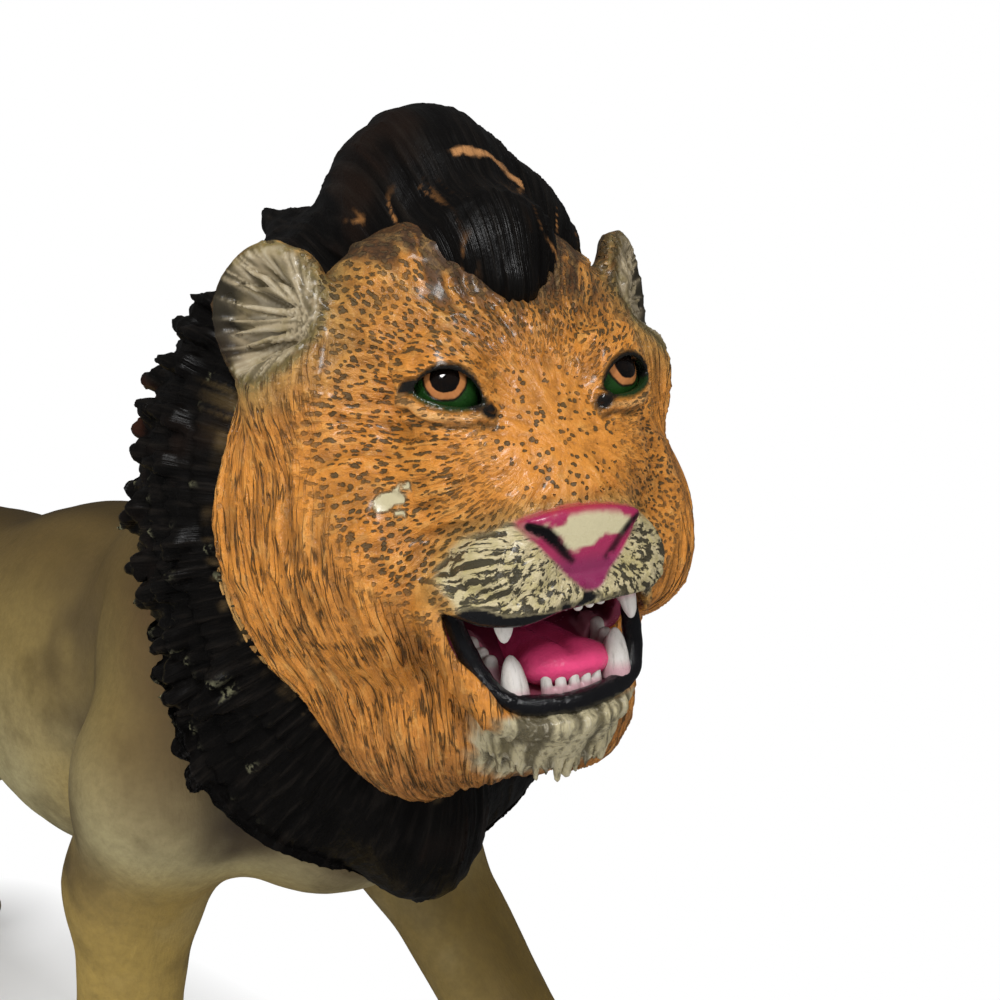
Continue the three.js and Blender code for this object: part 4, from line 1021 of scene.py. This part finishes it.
# for each leg, as shares of the trunk: joints from shoulder to wrist, radii there, and the middle of the paw
LEGS = {
    "leg_front_right": (
        [[-.16, -.1, .63], [-.19, -.12, .53], [-.26, -.125, .41], [-.285, -.128, .22], [-.275, -.13, .07]],
        [.085, .09, .062, .046, .047], [-.225, -.13, .04],
    ),
    "leg_front_left": (
        [[-.16, .1, .62], [-.15, .115, .53], [-.12, .118, .41], [.06, .12, .2], [.13, .12, .07]],
        [.1, .095, .06, .047, .05], [.17, .12, .04],
    ),
    "leg_rear_right": (
        [[-.9, -.1, .59], [-.88, -.115, .5], [-.87, -.115, .38], [-1.03, -.12, .2], [-1.02, -.12, .06]],
        [.1, .108, .08, .045, .048], [-.97, -.12, .04],
    ),
    "leg_rear_left": (
        [[-.92, .1, .59], [-.92, .115, .5], [-.95, .105, .38], [-1.17, .095, .23], [-1.2, .09, .06]],
        [.1, .108, .078, .045, .048], [-1.17, .09, .04],
    ),
}
TOES = ((-.048, .05), (-.017, .068), (.017, .068), (.048, .05))


def toes_of(paw):
    """The middle of each toe, in millimetres."""
    return [paw + [reach * TRUNK, spread * TRUNK, -paw[2] / 2] for spread, reach in TOES]


def add_leg(leg, joints, radii, paw):
    joints, paw = shares(joints), shares(paw)
    leg.add_all(chain(joints, shares(radii)), 8)
    # tendon at the back of the leg, knuckle above the paw
    back = np.array([-5.5, 0, 0])
    leg.add(limb(joints[2] + back, joints[3] + 0.8 * back, 4.2, 3.6), 5)
    leg.add(ellipsoid(joints[4] + [2, 0, 4], [9.8, 9.6, 7]), 5)
    leg.add(ellipsoid(paw, [18, 13.6, 11.6]), 4)
    for toe, (spread, _) in zip(toes_of(paw), TOES):
        beside = -3.6 * np.sign(spread)
        leg.add(ellipsoid(toe, [6.0, 3.9, 4.8]), 1.2)
        leg.cut(limb(toe + [-2, beside, 5.5], toe + [6.5, beside, -1], 0.7, 0.6), 1.0)


def make_body():
    box = [-272, -48, -1], [52, 48, 190], 1.3
    field = Field(*box)
    for a, b, ra, rb, breadth in (
        ([-.15, 0, .585], [-.475, 0, .555], .18, .187, .75),
        ([-.475, 0, .555], [-.78, 0, .56], .185, .152, .75),
        ([-.78, 0, .57], [-.93, 0, .575], .138, .13, .85), ([-.93, 0, .6], [-1, 0, .55], .105, .09, .95),
        ([-.1, 0, .7], [-.34, 0, .675], .065, .05, 1), ([-.1, 0, .56], [-.02, 0, .59], .13, .12, .9),
    ):
        field.add(limb(shares(a), shares(b), ra * TRUNK, rb * TRUNK, breadth), 12)
    field.add(limb(shares([-.2, 0, .66]), NECK_END, 33, 30), 12)
    # shoulder blades, haunches and the hollows behind the shoulders
    for side in (1, -1):
        field.add(ellipsoid([-38, 21 * side, 121], [15, 7.5, 24], turn("Y", 16)), 9)
        field.add(ellipsoid([-176, 19 * side, 112], [20, 9, 24]), 10)
        field.cut(limb([-60, 31 * side, 138], [-70, 33 * side, 98], 2.5, 2.0), 7)
    field.cut(half_space(NECK_END - 0.3 * BODY_NECK_AXIS, -BODY_NECK_AXIS))
    for shape in LEGS.values():
        leg = Field(*box)
        add_leg(leg, *shape)
        field.value = softened(field.value, leg.value, 7.0)
    field.cut(half_space([0, 0, 0], [0, 0, 1]))
    return field.skin()


vertices, faces = make_body()
x, y, z = vertices.T
facing = normals(vertices, faces)[:, 0]
soft1, soft2, soft3 = layered(vertices, 26, 91), layered(vertices, 11, 92), layered(vertices, 4.0, 93)
leg_zone = smooth(104, 86, z + 0.25 * (x + 50)) * smooth(-95, -66, x)
# airbrushed shading behind the shoulder and soft mottling on the legs, and darker beside the mane
shoulder = smooth(24, 4, np.abs(x + 58 + 0.28 * (z - 110) + 6 * soft2))
shoulder = shoulder * smooth(70, 92, z) * smooth(150, 128, z)
neck_near = smooth(-30, -6, (vertices - NECK_END) @ BODY_NECK_AXIS + 5 * soft2) * smooth(66, 84, z)
brushed = 0.45 + 0.5 * smooth(-0.35, 0.35, layered(vertices * [1, 1, 0.35], 6, 98))
strokes = []
for a, b, size in (
    ([-41, 27, 133], [-37, 28, 112], 6), ([-37, 28, 112], [-20, 27, 101], 7),
    ([-20, 27, 101], [5, 24, 98], 6), ([-53, 27, 122], [-48, 28, 108], 4),
):
    gap = limb(a, b, 0.3 * size, 0.3 * size)(on_left(vertices))
    strokes.append((smooth(size + 1.5, 0.0, gap) * brushed, (.040, .025, .016)))
claw_tips = [toe + [5.6, 0, -0.6] for *_, paw in LEGS.values() for toe in toes_of(shares(paw))]
claws = np.zeros(len(x))
for tip in claw_tips:
    claws = np.maximum(claws, smooth(2.4, 1.3, np.linalg.norm((vertices - tip) * [0.8, 1.3, 1], axis=1)))
body_paint = painted((.210, .150, .048), [
    (smooth(124, 88, z + 8 * soft1) * 0.85, (.41, .36, .19)),
    (smooth(124, 145, z + 5 * soft1), (.120, .078, .024)),
    (smooth(138, 145, z + 2 * soft2) * smooth(14, 5, np.abs(y)) * 0.7, (.035, .022, .008)),
    # the legs' colour, lighter on the near legs as painted light and darker on the far legs as painted shade
    (leg_zone * (y < 0), (.345, .235, .058)),
    (leg_zone * (y >= 0), (.215, .140, .028)),
    (smooth(90, 70, z) * smooth(-120, -150, x) * 0.7, (.26, .175, .05)),
    (shoulder * (0.6 + 0.6 * soft2), (.060, .042, .024)),
    (neck_near * 0.85, (.070, .036, .018)),
    (smooth(0.05, 0.6, soft2 + 0.6 * soft3) * 0.38, (.080, .054, .015)),
    *strokes,
    (smooth(0.1, 0.7, -soft2 + 0.4 * soft3) * 0.22 * smooth(130, 90, z), (.36, .30, .15)),
    (smooth(8, -8, np.abs(y) - 14) * smooth(95, 80, z) * 0.35, (.30, .26, .14)),
    # painted shade on the legs' faces turned back, and on the far legs' faces turned forward
    (smooth(0.2, 1.0, -facing) * leg_zone * 0.5, (.085, .055, .018)),
    (smooth(0.2, 1.0, facing) * leg_zone * (y > 0) * 0.6, (.075, .048, .014)),
    (smooth(9, 3, z) * 0.5, (.10, .07, .03)),
    (claws, (.03, .024, .018)),
])
folds = 0.35 * layered(vertices * [1, 1, 0.5], 9, 94) * smooth(10, 30, z) * smooth(3, 9, z)
vertices = raised(vertices, faces, folds)
body = make("body_skin", vertices, faces, "body", "body_vinyl", ["torso_shell", *LEGS], paint=body_paint)

route = shares([
    [-1.03, 0, .645], [-1.1, 0, .605], [-1.19, -.01, .52],
    [-1.24, -.02, .4], [-1.265, -.025, .28], [-1.3, -.03, .17],
])
tail_axis = (route[0] - route[1]) / np.linalg.norm(route[0] - route[1])
tuft_run = route[4] - route[3]
field = Field([-276, -20, 20], [-200, 14, 140], 0.8)
field.add_all(chain(route, [6.6, 5.6, 4.6, 4.0, 5.6, 2.2]), 4)
for i in range(3):
    # locks of the tuft
    for k in range(9):
        angle = (k + 0.5 * i) / 9 * 2 * math.pi
        out = np.array([0.95 * math.cos(angle), math.sin(angle), 0.25 * math.cos(angle)])
        start = route[3] + tuft_run * (0.45 + 0.3 * i) + 3.0 * out
        lock = [start, start + tuft_run * 0.32 + 1.6 * out, start + tuft_run * 0.62 + 0.6 * out]
        field.add_all(chain(lock, [1.6, 2.0, 0.5]), 0.7)
field.cut(half_space(route[0], -tail_axis))
vertices, faces = field.skin()
tuft = smooth(-2, 8, (route[3] - vertices)[:, 2] - 4 + 3 * layered(vertices, 6, 95))
tail_paint = painted((.150, .105, .03), [
    (smooth(-0.2, 0.6, layered(vertices, 12, 96)) * 0.5, (.085, .055, .016)),
    (tuft, (.005, .0045, .004)),
])
hair = ridged(np.arctan2(vertices[:, 1], vertices[:, 0] + 252) * 7, vertices[:, 2], 1.6, 9, 97)
vertices = raised(vertices, faces, 0.5 * (hair - 0.5) * tuft)
tail = make("tail_skin", vertices, faces, "tail", "body_vinyl", ["tail"], paint=tail_paint)


# materials
class Socket:
    """A node's output: sums, differences, products and quotients of these make Math nodes."""

    def __init__(self, nodes, output):
        self.nodes, self.output = nodes, output

    def __add__(self, other):
        return self.nodes.math("ADD", self, other)

    def __sub__(self, other):
        return self.nodes.math("SUBTRACT", self, other)

    def __rsub__(self, other):
        return self.nodes.math("SUBTRACT", other, self)

    def __mul__(self, other):
        return self.nodes.math("MULTIPLY", self, other)

    def __truediv__(self, other):
        return self.nodes.math("DIVIDE", self, other)

    def __gt__(self, other):
        return self.nodes.math("GREATER_THAN", self, other)

    def __abs__(self):
        return self.nodes.math("ABSOLUTE", self)

    def range(self, low, high, to_low=0.0, to_high=1.0):
        ends = {"From Min": low, "From Max": high, "To Min": to_low, "To Max": to_high}
        return self.nodes.out("MapRange", {"Value": self, **ends}, clamp=True)


class Nodes:
    """Short words for the nodes of a material or a world."""

    def __init__(self, owner):
        self.owner = bpy.data.materials.new(owner) if isinstance(owner, str) else owner
        self.owner.use_nodes = True
        self.tree = self.owner.node_tree
        self.shader = self.tree.nodes.get("Principled BSDF")

    def put(self, node, key, value):
        if isinstance(value, Socket):
            self.tree.links.new(value.output, node.inputs[key])
        else:
            node.inputs[key].default_value = value

    def node(self, kind, inputs, **settings):
        node = self.tree.nodes.new("ShaderNode" + kind)
        for key, value in settings.items():
            setattr(node, key, value)
        for key, value in inputs.items():
            self.put(node, key, value)
        return node

    def out(self, kind, inputs, output=0, **settings):
        return Socket(self, self.node(kind, inputs, **settings).outputs[output])

    def value(self, name):
        return self.out("Attribute", {}, "Fac", attribute_name=name)

    def vector(self, name):
        return self.out("Attribute", {}, "Vector", attribute_name=name)

    def parts(self, vector):
        return [Socket(self, output) for output in self.node("SeparateXYZ", {0: vector}).outputs]

    def join(self, x, y, z=0.0):
        return self.out("CombineXYZ", {0: x, 1: y, 2: z})

    def math(self, operation, *values):
        return self.out("Math", dict(enumerate(values)), operation=operation)

    def length(self, a, b):
        return self.math("SQRT", a * a + b * b)

    def scaled(self, vector, scale):
        return self.out("VectorMath", {0: vector, 1: scale}, operation="MULTIPLY")

    def mix(self, share, a, b):
        a, b = (colour if isinstance(colour, Socket) else (*colour, 1) for colour in (a, b))
        return self.out("MixRGB", {0: share, 1: a, 2: b})

    def coats(self, colour, layers):
        """A colour under further ones, each with its share."""
        for share, coat in layers:
            colour = self.mix(share, colour, coat)
        return colour

    def noise(self, vector, scale, detail=3.0, rough=0.55):
        return self.out("TexNoise", {"Vector": vector, "Scale": scale, "Detail": detail, "Roughness": rough})

    def cells(self, vector, scale, dimensions="3D"):
        """The distance to the nearest cell's point, and three chances for that cell."""
        node = self.node("TexVoronoi", {}, voronoi_dimensions=dimensions)
        self.put(node, "Vector", vector)
        self.put(node, "Scale", scale)
        return Socket(self, node.outputs["Distance"]), self.parts(Socket(self, node.outputs["Color"]))

    def finish(self, colour, roughness, height, **constants):
        """Height is in millimetres; constants are the shader's own, with a line for each space."""
        self.put(self.shader, "Base Color", colour)
        self.put(self.shader, "Roughness", roughness)
        for key, value in constants.items():
            self.put(self.shader, key.replace("_", " "), value)
        bump = self.out("Bump", {"Height": height, "Strength": 1.0, "Distance": MM})
        self.put(self.shader, "Normal", bump)
        return self.owner


def plain(name, colour, rough, scale, vary, deep):
    """A colour that varies a little, with a shallow grain."""
    n = Nodes(name)
    local = n.vector("local")
    grain = n.noise(local, scale)
    tint = n.mix(grain, [c * (1 - vary) for c in colour], [min(1, c * (1 + vary)) for c in colour])
    return n.finish(tint, grain.range(0.3, 0.7, rough - 0.08, rough + 0.08), n.noise(local, scale * 6) * deep)


def face_material():
    n = Nodes("face_paint")
    local, zone = n.vector("local"), n.value("zone")
    skin, muzzle, chin = n.parts(n.vector("masks"))
    x, y, z = n.parts(n.vector("bent"))
    angle, away, meridian = n.math("ARCTAN2", y, z + 8.0), n.length(y, z + 8.0), n.math("ARCTAN2", y, x + 38.0)
    jitter = n.out("TexNoise", {"Vector": local, "Scale": 0.9, "Detail": 3.0}, "Color")
    jag, ragged, _ = n.parts(n.scaled(jitter, (0.9, 0.7, 0)))
    warped = n.out("VectorMath", {0: local, 1: jitter}, operation="ADD")

    def most(a, b):
        return n.math("MAXIMUM", a, b)

    def dashes(u, v, width, length, size, dropped):
        distance, chance = n.cells(n.join(u / width + jag, v / length + ragged), 1.0, "2D")
        return (chance[1] * 0.13 + size - distance).range(-0.03, 0.07) * (chance[0] > dropped)

    # dark dashes that fan out from the bridge of the nose, run down the ruff, and are spots on the bridge
    bridge = away.range(15.0, 8.0)
    radial = dashes(angle * 23.0, away, 0.85, 1.5, 0.18, 0.08)
    second = dashes(angle * 23.0 + 7.3, away + 3.1, 1.1, 2.1, 0.15, 0.2)
    along = dashes(meridian * 34.0, z, 1.15, 4.2, 0.14, 0.25)
    distance, chance = n.cells(warped, 0.95)
    spots = distance.range(0.36, 0.27) * (chance[0] > 0.35)
    fan_marks = most(radial, second) * ((1.0 - zone) * (1.0 - bridge))
    mark = skin * most(fan_marks, most(along * zone * 0.4, spots * bridge))
    mark = mark * n.noise(local, 0.16).range(0.34, 0.5, 0.65, 1.0)
    # fine strands, thin dark lines between them, and lumps; the strands are painted lighter on their backs as a
    # painted highlight and darker between them as painted shade
    streak = n.noise(n.join(meridian * 26.0, z * 0.09), 1.0, 4.0, 0.6)
    fan_streak = n.noise(n.join(angle * 16.0, away * 0.22), 1.0, 4.0, 0.6)
    flow = n.parts(n.mix(zone, fan_streak, streak))[0]
    hair = abs(n.noise(n.join(meridian * 38.0, z * 0.11), 0.8, 2.0) - 0.5)
    line = hair.range(0.034, 0.008) * zone * skin * n.noise(local, 0.3).range(0.36, 0.5)
    spread = skin * most(zone, away.range(5.0, 16.0))
    fur_lumps = n.noise(warped, 0.55, 4.0)
    # muzzle: cream tufts that spread from the nose, with dark crevices between them, wider in places
    local_x, local_y, local_z = n.parts(local)
    drop = local_z + 20.0
    spin, span = n.math("ARCTAN2", local_y, drop * -1.0), n.length(local_y, drop)
    tuft = n.noise(n.join(spin * 15.0 + jag, span * 0.85 + local_x * 0.6 + ragged * 0.6), 1.0, 3.0, 0.6)
    heavy = n.noise(local, 0.30, 3.0).range(0.36, 0.64, 0.35, 0.46) + span.range(6.0, 10.0, 0.0, 0.09)
    speckle = muzzle * (heavy - tuft).range(-0.01, 0.03)
    # chin: painted shade in the grooves between the clumps, and a painted highlight on the clumps' backs
    beard = n.noise(n.join(y * 1.1, x * 0.8, z * 0.16), 1.0, 4.0, 0.6)
    colour = n.coats(n.vector("paint"), [
        # painted shade low on the strands, then a painted highlight on their backs
        (spread * flow.range(0.5, 0.32, 0.0, 0.6), (.20, .075, .015)),
        (spread * flow.range(0.55, 0.72, 0.0, 0.45), (.74, .44, .14)),
        # painted shade on the low parts of the lumps, then a painted highlight on the raised ones
        (skin * fur_lumps.range(0.46, 0.34, 0.0, 0.35), (.30, .105, .018)),
        (skin * fur_lumps.range(0.54, 0.68, 0.0, 0.35), (.72, .38, .10)),
        # painted shade in the grooves between the strands
        (n.value("groove") * skin * 0.6, (.085, .040, .011)),
        (line * 0.9, (.065, .034, .011)),
        (mark * 0.92, (.075, .050, .018)),
        (muzzle * n.noise(local, 0.7, 4.0).range(0.45, 0.65, 0.0, 0.6), (.42, .35, .13)),
        (speckle * 0.94, (.030, .026, .016)),
        # painted shade between the clumps, then a painted highlight on their backs
        (chin * beard.range(0.5, 0.36, 0.0, 0.75), (.10, .085, .05)),
        (chin * beard.range(0.56, 0.7, 0.0, 0.6), (.52, .47, .36)),
    ])
    height = mark * -0.45 + line * -0.35 + spread * flow * 1.3 + skin * fur_lumps * 0.6 + speckle * -0.25
    height = height + muzzle * tuft * 0.8 + chin * beard * 0.9 + n.noise(local, 2.2) * 0.06
    rough = n.value("gloss") * -0.1 + mark * 0.2 + n.noise(local, 0.5).range(0.3, 0.7, 0.27, 0.40)
    return n.finish(colour, rough, height, Specular_IOR_Level=0.45, Coat_Weight=0.25, Coat_Roughness=0.2)


def mane_material():
    n = Nodes("mane_paint")
    local, worn = n.vector("local"), n.value("worn")
    x, y, z = n.parts(local)
    theta = n.math("ARCTAN2", y, z - MANE_MIDDLE)
    strand = n.noise(n.join(theta * MANE_REACH, (x + z * 0.3) * 0.12), 0.9, 3.0, 0.6)
    colour = n.coats(n.vector("paint"), [
        (strand.range(0.5, 0.75, 0.0, 0.5), (.022, .017, .013)),
        # painted shade in the sunk places of the relief
        (n.value("groove") * 0.7, (.0015, .0013, .0012)),
        (worn * n.noise(local, 1.1).range(0.47, 0.55) * 0.9, (.26, .25, .145)),
    ])
    rough = n.noise(local, 0.35).range(0.3, 0.7, 0.30, 0.46) + worn * 0.2
    return n.finish(colour, rough, strand * 0.55 + n.noise(local, 2.5) * 0.05, Specular_IOR_Level=0.2)


def body_material(name):
    n = Nodes(name)
    local = n.vector("local")
    spray = n.noise(local, 0.55, 5.0, 0.7)
    colour = n.mix(spray.range(0.35, 0.65, 0.0, 0.28), n.vector("paint"), (.080, .054, .018))
    hair = n.noise(n.scaled(local, (0.5, 1.6, 0.35)), 0.9, 3.0)
    height = hair * 0.12 + n.noise(local, 1.8) * 0.05
    return n.finish(colour, spray.range(0.3, 0.7, 0.42, 0.56), height, Specular_IOR_Level=0.35)


def mouth_material():
    n = Nodes("mouth_paint")
    local = n.vector("local")
    blotch = n.noise(local, 0.5, 3.0)
    colour = n.mix(blotch.range(0.4, 0.7, 0.0, 0.25), n.vector("paint"), (.22, .02, .06))
    return n.finish(colour, blotch.range(0.3, 0.7, 0.14, 0.28), n.noise(local, 1.4) * 0.12)


def tooth_material():
    n = Nodes("tooth_paint")
    local = n.vector("local")
    stain = n.noise(local, 0.7, 4.0)
    streaks = n.noise(n.scaled(local, (1.6, 1.6, 0.3)), 1.2, 3.0)
    colour = n.coats((.62, .585, .55), [
        (stain.range(0.4, 0.7, 0.0, 0.4), (.42, .385, .33)),
        (n.value("root") * 0.75, (.50, .22, .27)),
        (streaks.range(0.56, 0.72, 0.0, 0.45), (.20, .18, .16)),
    ])
    return n.finish(colour, stain.range(0.3, 0.7, 0.2, 0.34), streaks * 0.12)


def eye_material():
    n = Nodes("eye_paint")
    look = n.vector("look")
    x, y, z = n.parts(look)
    off = n.length(y, z) + (n.noise(look, 0.8, 2.0) - 0.5) * 0.35
    fibre = n.noise(n.join(n.math("ARCTAN2", y, z) * 5.0, off), 1.0, 3.0)
    ring = n.mix(fibre, (.36, .12, .035), (.58, .25, .085))
    green = n.mix(n.noise(look, 0.7, 3.0), (.006, .028, .005), (.02, .075, .014))
    pupil = n.mix(n.noise(look, 0.6).range(0.4, 0.6, 0.0, 0.5), (.0025, .002, .002), (.008, .004, .002))
    under_lid = z.range(1.1, 1.5) * abs(y).range(2.3, 1.8)
    front = n.coats(green, [
        (off.range(3.1, 2.85), (.010, .006, .004)), (off.range(2.8, 2.6), ring), (off.range(1.98, 1.86), pupil),
        (under_lid, (.003, .003, .003)),
    ])
    colour = n.mix(x > 0.0, (.5, .45, .4), front)
    return n.finish(colour, fibre.range(0.2, 0.8, 0.05, 0.10), n.noise(look, 0.9) * 0.02, Coat_Weight=0.6)


def fibre_material():
    n = Nodes("fibre")
    fluff = n.noise(n.out("TexCoord", {}, "Object"), 900.0, 5.0)
    return n.finish(n.mix(fluff, (.6, .6, .57), (.8, .79, .75)), fluff.range(0.3, 0.7, 0.85, 1.0), fluff)


def dress(obj, material):
    obj.data.materials.clear()
    obj.data.materials.append(material)


tooth_paint, eye_paint = tooth_material(), eye_material()
for piece, material in (
    (face, face_material()), (mane, mane_material()), (liner, mouth_material()),
    (body, body_material("body_paint")), (tail, body_material("tail_paint")),
    (lips, plain("lip_paint", (.006, .006, .007), .16, .5, .3, .12)),
    (tongue, plain("tongue_paint", (.74, .062, .19), .16, .35, .22, .15)),
    *((crown, tooth_paint) for crown in teeth), *((ball, eye_paint) for ball in eyes),
    (frame["nodes"]["fibre_fill"], fibre_material()),
):
    dress(piece, material)

# scene: near the figure the floor shows its shadow, and farther off it is the white of the backdrop
ground = bpy.data.meshes.new("floor")
ground.from_pydata([(-4, -4, 0), (4, -4, 0), (4, 4, 0), (-4, 4, 0)], [], [(0, 1, 2, 3)])
floor = bpy.data.objects.new("floor", ground)
bpy.context.scene.collection.objects.link(floor)
WHITE = (1, 1, 1, 1)
n = Nodes("floor_paint")
place = n.out("TexCoord", {}, "Object")
px, py, _ = n.parts(place)
reach = n.length(n.math("MAXIMUM", abs(px) - 0.12, 0.0), py)
grain = n.noise(place, 60.0)
n.put(n.shader, "Base Color", n.mix(grain, (.78, .78, .78), (.82, .82, .82)))
n.put(n.shader, "Roughness", grain.range(0.3, 0.7, 0.86, 0.94))
glow = n.out("Emission", {"Color": WHITE, "Strength": 1.0})
share = n.out("LightPath", {}, "Is Camera Ray") * reach.range(0.018, 0.055)
blend = n.out("MixShader", {0: share, 1: Socket(n, n.shader.outputs[0]), 2: glow})
n.put(n.tree.nodes["Material Output"], 0, blend)
dress(floor, n.owner)
floor.visible_glossy = False

world = bpy.context.scene.world or bpy.data.worlds.new("world")
bpy.context.scene.world = world
sky = Nodes(world)
sky.tree.nodes.clear()
# the camera sees white; what shines sees a dim room, so black paint stays black between its highlights
soft, white, dim = (sky.out("Background", {0: WHITE, 1: strength}) for strength in (0.42, 1.0, 0.06))
seen = sky.out("MixShader", {0: sky.out("LightPath", {}, "Is Camera Ray"), 1: soft, 2: white})
shine = sky.out("MixShader", {0: sky.out("LightPath", {}, "Is Glossy Ray"), 1: seen, 2: dim})
sky.node("OutputWorld", {0: shine})


def lamp(name, place, aim, size, power):
    data = bpy.data.lights.new(name, "AREA")
    data.shape = "DISK"
    data.size = size
    data.energy = power
    obj = bpy.data.objects.new(name, data)
    obj.location = place
    obj.rotation_euler = (Vector(aim) - Vector(place)).to_track_quat("-Z", "Y").to_euler()
    bpy.context.scene.collection.objects.link(obj)
    return obj


lamp("key", (0.45, -0.55, 0.85), (0.1, 0, 0.15), 0.22, 4.8)
for name, place, aim, size, power in (
    ("fill", (-0.35, -0.95, 0.40), (0, 0, 0.12), 0.6, 3.4),
    ("front", (0.9, -0.25, 0.35), (0.1, 0, 0.15), 0.5, 1.8),
    ("back", (-0.3, 0.8, 0.8), (0, 0, 0.12), 0.5, 2.6),
):
    lamp(name, place, aim, size, power).visible_glossy = False

CAMERA_AT, CAMERA_SIDE, CAMERA_DOWN = [148.64, -152.56, 185.04], 40, 7
camera_data = bpy.data.cameras.new("camera")
camera_data.lens = 43.2
camera_data.sensor_width = 36
camera_data.clip_start = 0.01
camera = bpy.data.objects.new("camera", camera_data)
camera.location = Vector(from_body(CAMERA_AT))
camera.rotation_euler = (math.radians(90 - CAMERA_DOWN), 0, math.radians(CAMERA_SIDE))
bpy.context.scene.collection.objects.link(camera)
bpy.context.scene.camera = camera
bpy.context.scene.view_settings.view_transform = "Standard"
